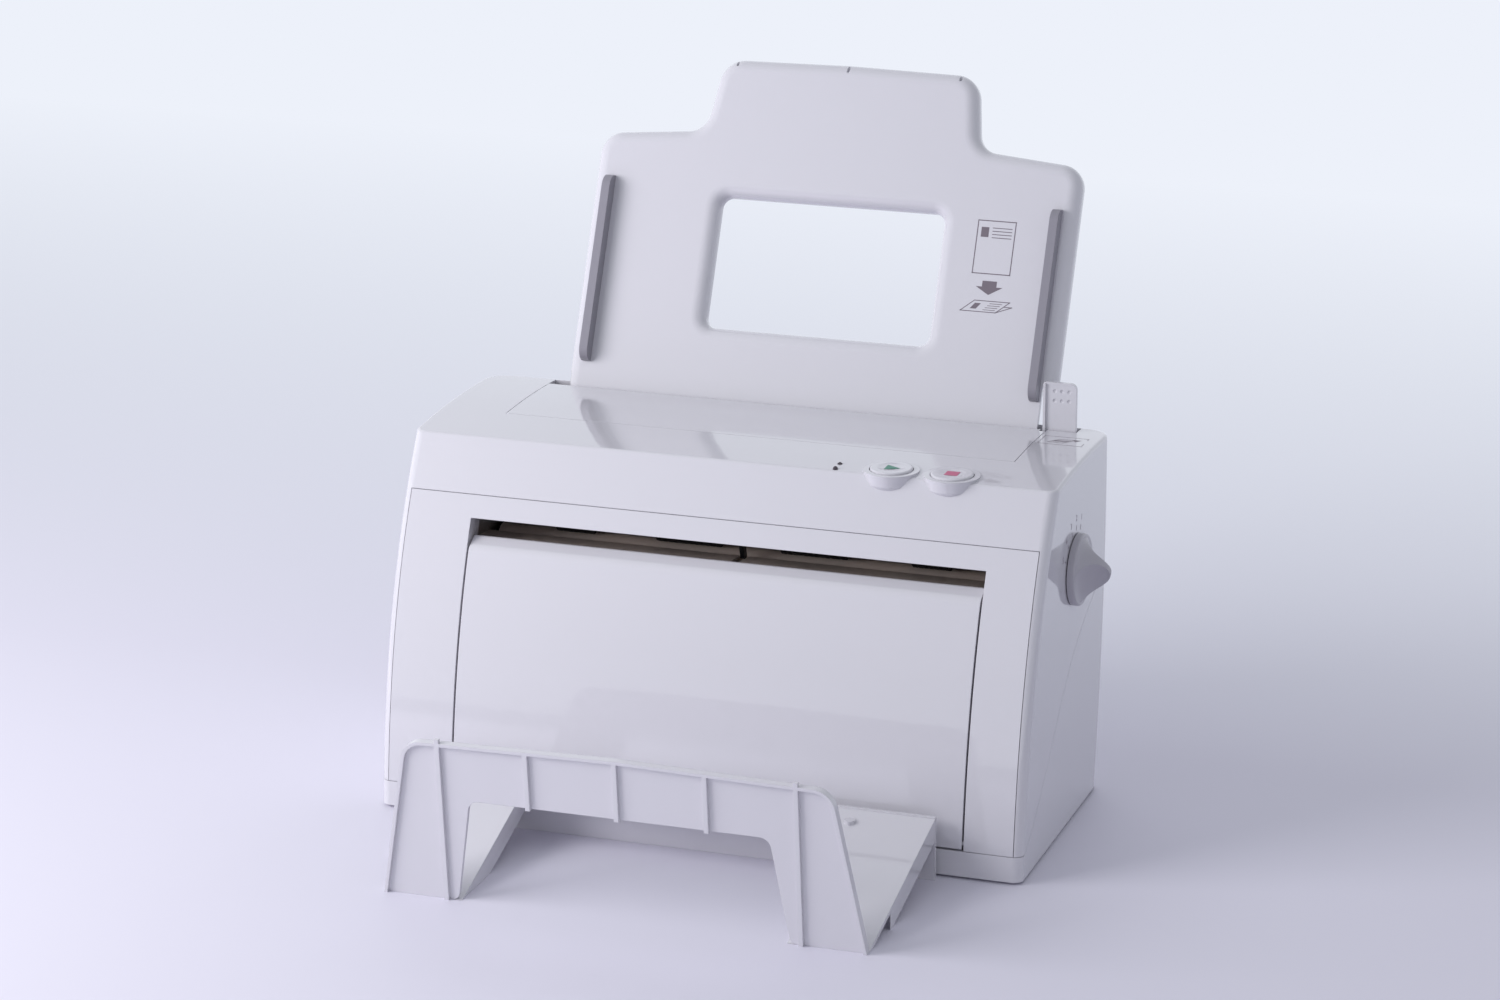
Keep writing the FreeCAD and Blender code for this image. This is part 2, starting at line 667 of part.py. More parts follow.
def button(x):
    top = BOSS_TOP_Z + BUTTON_RISE
    disc = post(x, BUTTON_Y, BUTTON_R, top - 4.2, top)
    disc = disc.makeFillet(0.8, edges_near(disc, lambda a, m, b: min(a.z, m.z, b.z) > top - 0.01))
    finger_dip = Part.makeSphere(40.0, V(x, BUTTON_Y, top + 40.0 - 0.5))
    stem = post(x, BUTTON_Y, 2.5, switch_top() + 0.05, top - 3)
    return fuse_all([disc.cut(finger_dip), stem])


BUTTON_BOARD_Z = 147.0


def switch_top():
    return BUTTON_BOARD_Z + 1.6 + 5.2


def button_board():
    board = box(LAMP_X - 8, BUTTON_Y - 8, BUTTON_BOARD_Z, BUTTON_X[1] + 12, BUTTON_Y + 12, BUTTON_BOARD_Z + 1.6)
    return board


def switch_bodies():
    bodies = []
    for x in BUTTON_X:
        base = box(x - 3, BUTTON_Y - 3, BUTTON_BOARD_Z + 1.6, x + 3, BUTTON_Y + 3, BUTTON_BOARD_Z + 5.1)
        bodies.append(base.fuse(post(x, BUTTON_Y, 1.7, BUTTON_BOARD_Z + 5.0, switch_top() - BUTTON_TRAVEL)))
    return Part.makeCompound(bodies)


def lamp_lenses():
    lenses = []
    for y in LAMP_Y:
        stem = post(LAMP_X, y, LAMP_R, BUTTON_BOARD_Z + 1.6, BOSS_TOP_Z - 0.9)
        dome = Part.makeSphere(LAMP_R, V(LAMP_X, y, BOSS_TOP_Z - 0.9))
        lenses.append(stem.fuse(dome))
    return Part.makeCompound(lenses)


# Feed tray

def tray_outline(grow):
    """Half outline mirrored: shoulders slope down outwards, the neck flares into them."""
    half = TRAY_HALF_WIDTH + grow
    top = TRAY_LENGTH + grow
    shoulder = TRAY_SHOULDER + grow
    neck = TRAY_NECK_HALF + grow
    neck_foot = TRAY_NECK_FOOT_HALF + grow
    out = 11.0 + grow
    hollow = 10.0 - grow
    foot = -TRAY_TONGUE - grow
    return [(-half, foot, 0), (half, foot, 0), (half, shoulder - 2.6, out), (neck_foot, shoulder + 1.8, hollow),
            (neck, top - 1.0, out + 1), (0, top, 0), (-neck, top - 1.0, out + 1), (-neck_foot, shoulder + 1.8, hollow),
            (-half, shoulder - 2.6, out)]


def window_outline(grow):
    half = WINDOW_HALF_WIDTH + grow
    r = 5.0 + grow
    return [(-half, WINDOW_LOW - grow, r), (half, WINDOW_LOW - grow, r), (half, WINDOW_HIGH + grow, r),
            (-half, WINDOW_HIGH + grow, r)]


def feed_tray():
    depth = TRAY_ROLL_DEPTH
    slab = plate_xy(tray_outline(0), -depth, 0)
    rim = edges_near(slab, lambda a, m, b: min(a.z, m.z, b.z) > -0.01 and max(a.y, m.y, b.y) > -TRAY_TONGUE + 1)
    slab = slab.makeFillet(TRAY_ROLL_R, rim)
    opening = plate_xy(window_outline(0), -depth - 1, 1)
    slab = slab.cut(opening)
    edge = edges_near(slab, lambda a, m, b: min(a.z, m.z, b.z) > -0.01 and abs(m.x) < WINDOW_HALF_WIDTH + 1
                      and WINDOW_LOW - 1 < m.y < WINDOW_HIGH + 1)
    slab = slab.makeFillet(TRAY_ROLL_R, edge)
    wall = TRAY_WALL - 0.4
    hollow = plate_xy(tray_outline(-wall), -depth - 5, -TRAY_WALL)
    front = edges_near(hollow, lambda a, m, b: min(a.z, m.z, b.z) > -TRAY_WALL - 0.01
                       and max(a.y, m.y, b.y) > -TRAY_TONGUE + wall + 1)
    hollow = hollow.makeFillet(TRAY_ROLL_R - wall, front)
    hollow = hollow.cut(plate_xy(window_outline(wall), -depth - 6, 1))
    front = edges_near(hollow, lambda a, m, b: min(a.z, m.z, b.z) > -TRAY_WALL - 0.01
                       and abs(m.x) < WINDOW_HALF_WIDTH + 4 and WINDOW_LOW - 4 < m.y < WINDOW_HIGH + 4)
    hollow = hollow.makeFillet(TRAY_ROLL_R - wall, front)
    slab = slab.cut(hollow)
    foot_cut = box(-200, -TRAY_TONGUE - 5, -depth - 6, 200, TRAY_FLANGE_START, -TRAY_WALL)
    slab = slab.cut(foot_cut)
    notch_left = LEVER_X[0] - TRAY_X - 4.0
    notch = plate_xy([(notch_left, -TRAY_TONGUE - 5, 0), (TRAY_HALF_WIDTH + 5, -TRAY_TONGUE - 5, 0),
                      (TRAY_HALF_WIDTH + 5, 20.0, 0), (notch_left, 20.0, 3.0)], -depth - 8, 5)
    slab = slab.cut(notch)
    for u in (-54.0, 0.0, 54.0):
        slab = slab.cut(box(u - 0.6, TRAY_LENGTH - 4.5, -3.0, u + 0.6, TRAY_LENGTH + 2, 2))
    return to_tray(slab)


def to_tray(shape):
    return on_slope(shape, TRAY_X, TRAY_Y, TRAY_Z, 90.0 - TRAY_LEAN)


def paper_guides():
    guides = []
    gap = (PAPER_WIDTH + PAPER_PLAY) / 2
    for side in (-1, 1):
        inner = side * gap
        outer = side * (gap + GUIDE_WIDTH)
        x0 = min(inner, outer)
        x1 = max(inner, outer)
        rib = box(x0, GUIDE_LOW, 0, x1, GUIDE_HIGH, GUIDE_HEIGHT)
        ends = edges_near(rib, lambda a, m, b: abs(a.x - b.x) > 1 and m.z > 1)
        rib = rib.makeFillet(GUIDE_HEIGHT - 0.8, ends)
        guides.append(to_tray(rib))
    return Part.makeCompound(guides)


# Lift plate and pickup

def lift_plate():
    plate = box(-LIFT_HALF_WIDTH, LIFT_LOW, -LIFT_THICK - 0.2, LIFT_HALF_WIDTH, LIFT_HIGH, -0.2)
    ears = []
    for x in (-LIFT_HALF_WIDTH, LIFT_HALF_WIDTH - 2.0):
        ears.append(box(x, LIFT_HIGH - 8, -LIFT_PIVOT_BACK - 2.2, x + 2.0, LIFT_HIGH, -0.2 - LIFT_THICK / 2))
        ears.append(box(x, LIFT_HIGH - 2.2, -LIFT_PIVOT_BACK - 2.2, x + 2.0, LIFT_HIGH + 2.2, -LIFT_PIVOT_BACK + 2.2))
    plate = fuse_all([plate] + ears)
    pad_pocket = box(-14, -PICKUP_DEPTH - 10, -0.8, 14, -PICKUP_DEPTH + 10, 1)
    plate = plate.cut(pad_pocket)
    plate = to_tray(plate)
    rods = [rod(LIFT_PIVOT, LIFT_PIN_R, FRAME_LEFT_X, TRAY_X - LIFT_HALF_WIDTH + 2.0),
            rod(LIFT_PIVOT, LIFT_PIN_R, TRAY_X + LIFT_HALF_WIDTH - 2.0, FRAME_RIGHT_X + FRAME_THICK)]
    return fuse_all([plate] + rods)


def separator_pad():
    pad = box(-14, -PICKUP_DEPTH - 10, -0.8, 14, -PICKUP_DEPTH + 10, -0.15)
    return to_tray(pad)


def pickup_shaft():
    start = FRAME_INNER_LEFT + BUSH_FLANGE
    end = FRAME_RIGHT_X - BUSH_FLANGE
    return fuse_all([rod(PICKUP, PICKUP_SHAFT_R, start, end), rod(PICKUP, JOURNAL_R, GEAR_X[0], start),
                     rod(PICKUP, JOURNAL_R, end, FRAME_RIGHT_X + FRAME_THICK + 1.5)])


def tyre(centre, radius, bore, offset, width):
    ring = rod(centre, radius, PAPER_X + offset - width / 2, PAPER_X + offset + width / 2)
    return ring.cut(rod(centre, bore, PAPER_X + offset - width, PAPER_X + offset + width))


def pickup_tyres():
    return Part.makeCompound([tyre(PICKUP, PICKUP_R, PICKUP_SHAFT_R, o, w) for o, w in PICKUP_TYRES])


def release_lever():
    x0, x1 = LEVER_X
    y0 = LEVER_Y - LEVER_THICK / 2
    outline = [(x0, CREASE_Z - 5.4, 0), (x1, CREASE_Z - 5.4, 0), (x1, LEVER_TOP_Z, 3.0), (x0, LEVER_TOP_Z, 0.8)]
    blade = on_slope(plate_xy(outline, 0, LEVER_THICK), 0, y0 + LEVER_THICK, 0, 90.0)
    rib = box(x0, y0 - 0.9, CREASE_Z - 5.4, x0 + 1.2, y0 + 0.1, LEVER_TOP_Z - 0.6)
    a0, a1 = LEVER_ARM_X
    arm = box(a0, y0, LEVER_PIVOT_Z, a1, y0 + LEVER_THICK, CREASE_Z - 5.0)
    hub = rod((LEVER_Y, LEVER_PIVOT_Z), 4.6, a0, a1)
    lever = fuse_all([blade, rib, arm, hub])
    lever = lever.cut(rod((LEVER_Y, LEVER_PIVOT_Z), STUD_R + PIN_CLEARANCE, a0 - 1, a1 + 1))
    for row in range(2):
        for column in range(3):
            x = x0 + 5.3 + column * 3.3
            z = LEVER_TOP_Z - 4.0 - row * 4.4
            lever = lever.cut(Part.makeSphere(1.1, V(x, y0 - 0.6, z)))
    return lever


# Frames

def frame_outline():
    points = []
    for z, back in ((FOOT_HEIGHT + WALL, 12.0), (60.0, 9.0), (112.0, 9.0), (136.0, 8.0)):
        points.append((face_y(z) + back, z, 0))
    points += [(66.0, FRAME_TOP_Z, 4.0), (LIFT_PIVOT[0] + 3.0, FRAME_TOP_Z, 2.0),
               (LIFT_PIVOT[0] + 3.0, LIFT_PIVOT[1] - 6.0, 2.0), (124.0, 128.0, 6.0), (124.0, FOOT_HEIGHT + WALL, 0)]
    return points


def side_frame(x0, flange_side):
    plate = plate_yz(frame_outline(), x0, x0 + FRAME_THICK)
    floor = FOOT_HEIGHT + WALL
    if flange_side < 0:
        flange = box(x0 - 10.0, 24.0, floor, x0 + FRAME_THICK, 120.0, floor + FRAME_THICK)
    else:
        flange = box(x0, 24.0, floor, x0 + FRAME_THICK + 10.0, 120.0, floor + FRAME_THICK)
    frame = fuse_all([plate, flange])
    for centre in bushed_axes():
        frame = frame.cut(rod(centre, BUSH_R + 0.02, x0 - 1, x0 + 3))
    frame = frame.cut(rod(LIFT_PIVOT, LIFT_PIN_R + PIN_CLEARANCE, x0 - 1, x0 + 3))
    for x, y in screw_places():
        frame = frame.cut(post(x, y, 1.25, floor - 1, floor + 3))
    frame = frame.cut(stop_slot(x0 - 1, x0 + 3))
    return frame


def left_side_frame():
    frame = side_frame(FRAME_LEFT_X, -1)
    return frame.cut(rod(MOTOR, 4.0, FRAME_LEFT_X - 1, FRAME_LEFT_X + 3))


def right_side_frame():
    frame = side_frame(FRAME_RIGHT_X, 1)
    stud = rod((LEVER_Y, LEVER_PIVOT_Z), STUD_R, FRAME_RIGHT_X + 0.5, LEVER_ARM_X[1] + 1.0)
    collar = rod((LEVER_Y, LEVER_PIVOT_Z), 4.0, FRAME_RIGHT_X, LEVER_ARM_X[0] - 0.3)
    selector = rod((KNOB_Y, KNOB_Z), SELECTOR_SHAFT_R + PIN_CLEARANCE, FRAME_RIGHT_X - 1, FRAME_RIGHT_X + 3)
    return fuse_all([frame, stud, collar]).cut(selector)


def bushed_axes():
    return (LOWER_EXIT, UPPER_EXIT, MAIN, ENTRY, PICKUP)


def roller_bushes():
    bushes = []
    right = FRAME_RIGHT_X + FRAME_THICK
    for centre in bushed_axes():
        sleeve = rod(centre, BUSH_R, FRAME_LEFT_X - 1.2, FRAME_INNER_LEFT)
        flange = rod(centre, BUSH_FLANGE_R, FRAME_INNER_LEFT, FRAME_INNER_LEFT + BUSH_FLANGE - 0.2)
        bushes.append(sleeve.fuse(flange).cut(rod(centre, JOURNAL_R + PIN_CLEARANCE, -140, -100)))
        sleeve = rod(centre, BUSH_R, FRAME_RIGHT_X, right + 1.2)
        flange = rod(centre, BUSH_FLANGE_R, FRAME_RIGHT_X - BUSH_FLANGE + 0.2, FRAME_RIGHT_X)
        bushes.append(sleeve.fuse(flange).cut(rod(centre, JOURNAL_R + PIN_CLEARANCE, 100, 150)))
    return Part.makeCompound(bushes)


TIE_BARS = ((52.0, 142.0), (30.0, 84.0), (111.0, 22.0))


def tie_bars():
    return Part.makeCompound([rod(c, TIE_BAR_R, FRAME_INNER_LEFT, FRAME_RIGHT_X) for c in TIE_BARS])


def gear_studs():
    studs = []
    for centre, end in ((IDLER, GEAR_X[0]), (REDUCTION, GEAR_OUTER_X[0])):
        pin = rod(centre, STUD_R, end - 1.4, FRAME_LEFT_X)
        washer = rod(centre, 4.0, GEAR_X[1] + 0.2, FRAME_LEFT_X)
        clip = rod(centre, 4.0, end - 1.2, end - 0.3)
        studs.append(fuse_all([pin, washer, clip]))
    return Part.makeCompound(studs)


# Rollers

def full_roller(centre, radius):
    start = PAPER_X - ROLLER_HALF_LENGTH
    end = PAPER_X + ROLLER_HALF_LENGTH
    body = rod(centre, radius, start, end)
    journal = rod(centre, JOURNAL_R, GEAR_X[0], FRAME_RIGHT_X + FRAME_THICK + 1.5)
    return fuse_all([body, journal])


def upper_exit_shaft():
    start = FRAME_INNER_LEFT + BUSH_FLANGE
    end = FRAME_RIGHT_X - BUSH_FLANGE
    body = rod(UPPER_EXIT, EXIT_SHAFT_R, start, end)
    journal = rod(UPPER_EXIT, JOURNAL_R, GEAR_X[0], FRAME_RIGHT_X + FRAME_THICK + 1.5)
    return fuse_all([body, journal])


def exit_tyres():
    return Part.makeCompound([tyre(UPPER_EXIT, ROLLER_R, EXIT_SHAFT_R, o, w) for o, w in TYRE_OFFSETS])


# Gears

def gear(centre, teeth, phase, x_span, bore):
    """Spur gear with straight flanks; a tooth stands at the phase angle, in degrees from +Y to +Z."""
    pitch = pitch_r(teeth)
    root = pitch - 1.2 * MODULE
    tip = pitch + 0.92 * MODULE
    slope = math.tan(math.radians(20.0))
    half_pitch = (math.pi * MODULE / 2 - TOOTH_BACKLASH) / 2
    root_half = (half_pitch + (pitch - root) * slope) / root
    tip_half = (half_pitch - (tip - pitch) * slope) / tip
    points = []
    for k in range(teeth):
        a = math.radians(phase) + 2 * math.pi * k / teeth
        for r, turn in ((root, -root_half), (tip, -tip_half), (tip, tip_half), (root, root_half)):
            points.append(V(x_span[0], centre[0] + r * math.cos(a + turn), centre[1] + r * math.sin(a + turn)))
    points.append(points[0])
    wheel = Part.Face(Part.makePolygon(points)).extrude(V(x_span[1] - x_span[0], 0, 0))
    return wheel.cut(rod(centre, bore, x_span[0] - 1, x_span[1] + 1))


def mesh_phase(c1, n1, phase1, c2, n2):
    """Phase in degrees of gear 2, so that it meshes with gear 1."""
    beta = math.degrees(math.atan2(c2[1] - c1[1], c2[0] - c1[0]))
    return beta + 180.0 + (180.0 - n1 * (phase1 - beta)) / n2


MAIN_PHASE = 0.0
ENTRY_PHASE = mesh_phase(MAIN, ROLLER_TEETH, MAIN_PHASE, ENTRY, ROLLER_TEETH)
LOWER_PHASE = mesh_phase(MAIN, ROLLER_TEETH, MAIN_PHASE, LOWER_EXIT, ROLLER_TEETH)
UPPER_PHASE = mesh_phase(LOWER_EXIT, ROLLER_TEETH, LOWER_PHASE, UPPER_EXIT, ROLLER_TEETH)
IDLER_PHASE = mesh_phase(MAIN, ROLLER_TEETH, MAIN_PHASE, IDLER, IDLER_TEETH)
PICKUP_PHASE = mesh_phase(IDLER, IDLER_TEETH, IDLER_PHASE, PICKUP, PICKUP_TEETH)
REDUCTION_PHASE = mesh_phase(ENTRY, ROLLER_TEETH, ENTRY_PHASE, REDUCTION, REDUCTION_SMALL)
MOTOR_PHASE = mesh_phase(REDUCTION, REDUCTION_BIG, 0.0, MOTOR, MOTOR_TEETH)


def reduction_gear():
    bore = STUD_R + PIN_CLEARANCE
    small = gear(REDUCTION, REDUCTION_SMALL, REDUCTION_PHASE, (GEAR_OUTER_X[1], GEAR_X[1]), bore)
    big = gear(REDUCTION, REDUCTION_BIG, 0.0, GEAR_OUTER_X, bore)
    return fuse_all([small, big])


def motor_shaft():
    shaft = rod(MOTOR, MOTOR_SHAFT_R, GEAR_OUTER_X[0], FRAME_LEFT_X + 2.0)
    pinion = gear(MOTOR, MOTOR_TEETH, MOTOR_PHASE, GEAR_OUTER_X, MOTOR_SHAFT_R - 0.2)
    return fuse_all([shaft, pinion])


def motor_housing():
    start = FRAME_INNER_LEFT
    can = rod(MOTOR, MOTOR_R, start, start + MOTOR_LENGTH)
    can = can.makeFillet(2.0, edges_near(can, lambda a, m, b: min(a.x, m.x, b.x) > start + MOTOR_LENGTH - 0.1))
    tail = rod(MOTOR, 4.5, start + MOTOR_LENGTH - 1, start + MOTOR_LENGTH + 2.5)
    nose = rod(MOTOR, 3.6, FRAME_LEFT_X - 0.6, start + 1)
    body = fuse_all([can, tail, nose])
    return body.cut(rod(MOTOR, MOTOR_SHAFT_R + PIN_CLEARANCE, FRAME_LEFT_X - 2, FRAME_LEFT_X + 4.0))


# Paper path

def lower_path():
    start = polar(ENTRY_NIP, NIP_CLEAR, ENTRY_HEADING)
    to_floor = 360.0 - DROP_HEADING
    moves = [(PLATE_IN,), (PLATE_BEND_R, PLATE_BEND), (PLATE_DROP,), (PLATE_TOE_R, to_floor), (PLATE_FLOOR,)]
    return start, moves


def lower_sheet(near, far):
    start, moves = lower_path()
    return strip_yz(start, ENTRY_HEADING, moves, near, far, FRAME_INNER_LEFT, FRAME_RIGHT_X)


def finger_slots():
    """Room for the stop's fingers, along the straight drop."""
    start, moves = lower_path()
    top, heading = path_end(start, ENTRY_HEADING, moves[:2])
    foot, heading = path_end(start, ENTRY_HEADING, moves[:3])
    slots = []
    for x in STOP_FINGERS:
        half = FINGER_WIDTH / 2 + 1.0
        slots.append(box(x - half, foot[0] - 12, foot[1] - 1.0, x + half, top[0] + 8, top[1] + 2.0))
    return slots


def fold_plate_outer():
    """The front sheet, on the right-hand side of the paper's way down."""
    sheet = lower_sheet(-PAPER_GAP / 2 - SHEET, -PAPER_GAP / 2)
    for slot in finger_slots():
        sheet = sheet.cut(slot)
    return sheet


def fold_plate_inner():
    sheet = lower_sheet(PAPER_GAP / 2, PAPER_GAP / 2 + SHEET)
    for slot in finger_slots():
        sheet = sheet.cut(slot)
    return sheet


def upper_sheet(near, far):
    start = polar(SECOND_NIP, NIP_CLEAR, SECOND_HEADING)
    moves = [(UPPER_RUN,), (UPPER_BEND_R, -SECOND_HEADING), (2.0,)]
    return strip_yz(start, SECOND_HEADING, moves, near, far, FRAME_INNER_LEFT, FRAME_RIGHT_X)


def chute_moves():
    """From the lift plate's foot round to the entry nip: start point, heading and moves."""
    radius = 22.0
    tray_heading = 270.0 - TRAY_LEAN
    turn = ENTRY_HEADING - tray_heading
    nip_gap = NIP_CLEAR
    end = polar(ENTRY_NIP, -nip_gap, ENTRY_HEADING)
    centre_side = -90
    lean = math.tan(math.radians(TRAY_LEAN))

    def start_for(run):
        knee = polar(end, -run, ENTRY_HEADING)
        centre = polar(knee, radius, ENTRY_HEADING + centre_side)
        return polar(centre, radius, tray_heading - centre_side)

    def miss(run):
        y, z = start_for(run)
        return y - (TRAY_Y - (TRAY_Z - z) * lean)

    slope = miss(1.0) - miss(0.0)
    run = -miss(0.0) / slope
    return start_for(run), tray_heading, [(radius, turn), (run,)]


def chute_sheet(near, far):
    start, heading, moves = chute_moves()
    return strip_yz(start, heading, moves, near, far, FRAME_INNER_LEFT, FRAME_RIGHT_X)


def exit_guide():
    """Beige sheet that lifts the folded paper over the door's lip."""
    rise = ANGLE_TO_UPPER_EXIT - 90.0
    start = polar((EXIT_NIP[0], EXIT_NIP[1] - 2.0), 9.0, 180.0 - rise)
    sheet = strip_yz(start, 180.0 - rise, [(16.0,), (3.0, 70.0), (5.0,)], 0, SHEET, FRAME_INNER_LEFT, FRAME_RIGHT_X)
    return sheet.cut(box(PAPER_X - 2.0, EXIT_NIP[0] - 40, EXIT_NIP[1] - 12, PAPER_X + 2.0, EXIT_NIP[0], EXIT_NIP[1] + 12))


def sensor_flag():
    bar = TIE_BARS[0]
    hub = rod(bar, TIE_BAR_R + 2.0, PAPER_X - 2.2, PAPER_X + 2.2).cut(rod(bar, TIE_BAR_R + 0.02, PAPER_X - 5, PAPER_X + 5))
    blade = plate_yz([(bar[0] - 2.0, bar[1] - 4.0, 0), (bar[0] + 3.0, bar[1] - 3.6, 0),
                      (bar[0] + 8.0, EXIT_NIP[1] - 1.0, 1.0), (bar[0] + 4.5, EXIT_NIP[1] - 1.0, 1.0)],
                     PAPER_X - 1.0, PAPER_X + 1.0)
    return fuse_all([hub, blade])


# Selector and fold stop

def along_drop(point, distance):
    return polar(point, distance, DROP_HEADING)


def selector_shaft():
    shaft = rod((KNOB_Y, KNOB_Z), SELECTOR_SHAFT_R, FRAME_RIGHT_X + 0.1, HALF_WIDTH + 2.0)
    teeth = int(2 * RACK_TEETH_RADIUS / MODULE)
    pinion = gear((KNOB_Y, KNOB_Z), teeth, DROP_HEADING - 90.0 + 180.0 / teeth, RACK_X, SELECTOR_SHAFT_R - 0.2)
    return dial_turned(fuse_all([shaft, pinion]))


def dial_turned(shape):
    """A selector piece turned from the dial's upright mark to the mark it rests on."""
    turned = shape.copy()
    turned.rotate(V(0, KNOB_Y, KNOB_Z), V(1, 0, 0), DIAL_REST)
    return turned


def grip_dome(x0, reach):
    """Turned grip, hollow-sided near the disc and rounded at its tip."""
    r = KNOB_R - 1.2
    curve = Part.BSplineCurve()
    points = [(0, r), (0.18, 0.78 * r), (0.4, 0.64 * r), (0.68, 0.48 * r), (0.9, 0.27 * r), (1.0, 0)]
    curve.interpolate([V(x0 + k * reach, h, 0) for k, h in points])
    edges = [curve.toShape(), Part.LineSegment(V(x0 + reach, 0, 0), V(x0, 0, 0)).toShape(),
             Part.LineSegment(V(x0, 0, 0), V(x0, r, 0)).toShape()]
    dome = Part.Face(Part.Wire(edges)).revolve(V(0, 0, 0), V(1, 0, 0), 360)
    dome.translate(V(0, KNOB_Y, KNOB_Z))
    return dome


def selector_knob():
    x0 = HALF_WIDTH + 0.4
    disc = rod((KNOB_Y, KNOB_Z), KNOB_R, x0, x0 + KNOB_DISC)
    disc = disc.makeFillet(1.0, edges_near(disc, lambda a, m, b: min(a.x, m.x, b.x) > x0 + KNOB_DISC - 0.01))
    dome = grip_dome(x0 + KNOB_DISC - 0.2, KNOB_REACH - KNOB_DISC)
    for side in (-1, 1):
        scoop = Part.makeCylinder(GRIP_SCOOP_R, 80, V(x0 + KNOB_DISC + GRIP_SCOOP_R, KNOB_Y, KNOB_Z - 40))
        scoop.translate(V(0, side * (GRIP_SCOOP_R + 1.3), 0))
        dome = dome.cut(scoop)
    knob = dial_turned(fuse_all([disc, dome]))
    return knob.cut(rod((KNOB_Y, KNOB_Z), SELECTOR_SHAFT_R, HALF_WIDTH - 2, HALF_WIDTH + 2.0))


def stop_frame():
    """The stop's home point on the drop, and the rack's pitch point beside the pinion."""
    start, moves = lower_path()
    top, heading = path_end(start, ENTRY_HEADING, moves[:2])
    home = along_drop(top, 1.5 + stop_travel(SELECTOR_BACK))
    pitch_point = polar((KNOB_Y, KNOB_Z), RACK_TEETH_RADIUS, DROP_HEADING - 90.0)
    return home, pitch_point


def stop_travel(degrees):
    return RACK_TEETH_RADIUS * math.radians(degrees)


BAR_AHEAD = 5.0
BAR_THICK = 2.0
BAR_TALL = 4.0


def in_drop_frame(shape, origin):
    """Own X along the paper's way down, own Y to the left of it, own Z along the machine's X."""
    a = math.radians(DROP_HEADING)
    turn = FreeCAD.Matrix(0, 0, 1, 0, math.cos(a), -math.sin(a), 0, origin[0],
                          math.sin(a), math.cos(a), 0, origin[1], 0, 0, 0, 1)
    return moved(shape, FreeCAD.Placement(turn))


def stop_slot(x0, x1):
    home, pitch_point = stop_frame()
    room = 0.6
    slot = box(-stop_travel(SELECTOR_BACK) - room, -BAR_AHEAD - BAR_THICK - room, x0,
               stop_travel(SELECTOR_FORWARD) + BAR_TALL + room, -BAR_AHEAD + room, x1)
    return in_drop_frame(slot, home)


def fold_stop():
    home, pitch_point = stop_frame()
    bar = box(0, -BAR_AHEAD - BAR_THICK, FRAME_LEFT_X - 1.0, BAR_TALL, -BAR_AHEAD, RACK_X[1])
    pieces = [in_drop_frame(bar, home)]
    for x in STOP_FINGERS:
        finger = box(0.8, -BAR_AHEAD - 0.5, x - FINGER_WIDTH / 2, 2.8, PAPER_GAP / 2 + 1.6, x + FINGER_WIDTH / 2)
        pieces.append(in_drop_frame(finger, home))
    pieces.append(in_drop_frame(rack_bar(home, pitch_point), home))
    stop = fuse_all(pieces)
    rest = along_drop((0, 0), stop_travel(DIAL_REST))
    stop.translate(V(0, rest[0], rest[1]))
    return stop


def rack_bar(home, pitch_point):
    """Rack beside the pinion with an arm to the stop bar, in the drop frame."""
    a = math.radians(DROP_HEADING)
    dy = pitch_point[0] - home[0]
    dz = pitch_point[1] - home[1]
    along = dy * math.cos(a) + dz * math.sin(a)
    across = -dy * math.sin(a) + dz * math.cos(a)
    tooth_pitch = math.pi * MODULE
    half = (tooth_pitch / 2 - TOOTH_BACKLASH) / 2
    slope = math.tan(math.radians(20.0))
    root = across - 1.2 * MODULE
    tip = across + 0.9 * MODULE
    low = along - stop_travel(SELECTOR_FORWARD) - 6.0
    high = along + stop_travel(SELECTOR_BACK) + 6.0
    points = [V(low, root - 3.0, RACK_X[0]), V(low, root, RACK_X[0])]
    first = int(math.ceil((low + 1.5 - along) / tooth_pitch))
    last = int(math.floor((high - 1.5 - along) / tooth_pitch))
    for k in range(first, last + 1):
        c = along + k * tooth_pitch
        wide = half + 1.2 * MODULE * slope
        slim = half - 0.9 * MODULE * slope
        points += [V(c - wide, root, RACK_X[0]), V(c - slim, tip, RACK_X[0]), V(c + slim, tip, RACK_X[0]),
                   V(c + wide, root, RACK_X[0])]
    points += [V(high, root, RACK_X[0]), V(high, root - 3.0, RACK_X[0])]
    points.append(points[0])
    width = RACK_X[1] - RACK_X[0]
    rack = Part.Face(Part.makePolygon(points)).extrude(V(0, 0, width))
    spine = box(high - 0.5, root - 3.0, RACK_X[0], BAR_TALL, root - 0.2, RACK_X[1])
    arm = box(0, -BAR_AHEAD - BAR_THICK, RACK_X[0], BAR_TALL, root - 0.2, RACK_X[1])
    return fuse_all([rack, spine, arm])


# Electrics

def control_board():
    board = box(BOARD_X[0], BOARD_Y, BOARD_Z[0], BOARD_X[1], BOARD_Y + BOARD_THICK, BOARD_Z[1])
    face = BOARD_Y
    parts = [board,
             box(-58, face - 16, 26, -32, face + 0.1, 50),
             box(-24, face - 4, 30, -8, face + 0.1, 40),
             box(0, face - 9, 56, 26, face + 0.1, 66)]
    for x in (2.0, 14.0, 26.0):
        parts.append(Part.makeCylinder(4.0, 12.0, V(x, face - 12.0, 34.0), V(0, 1, 0)))
    return fuse_all(parts)


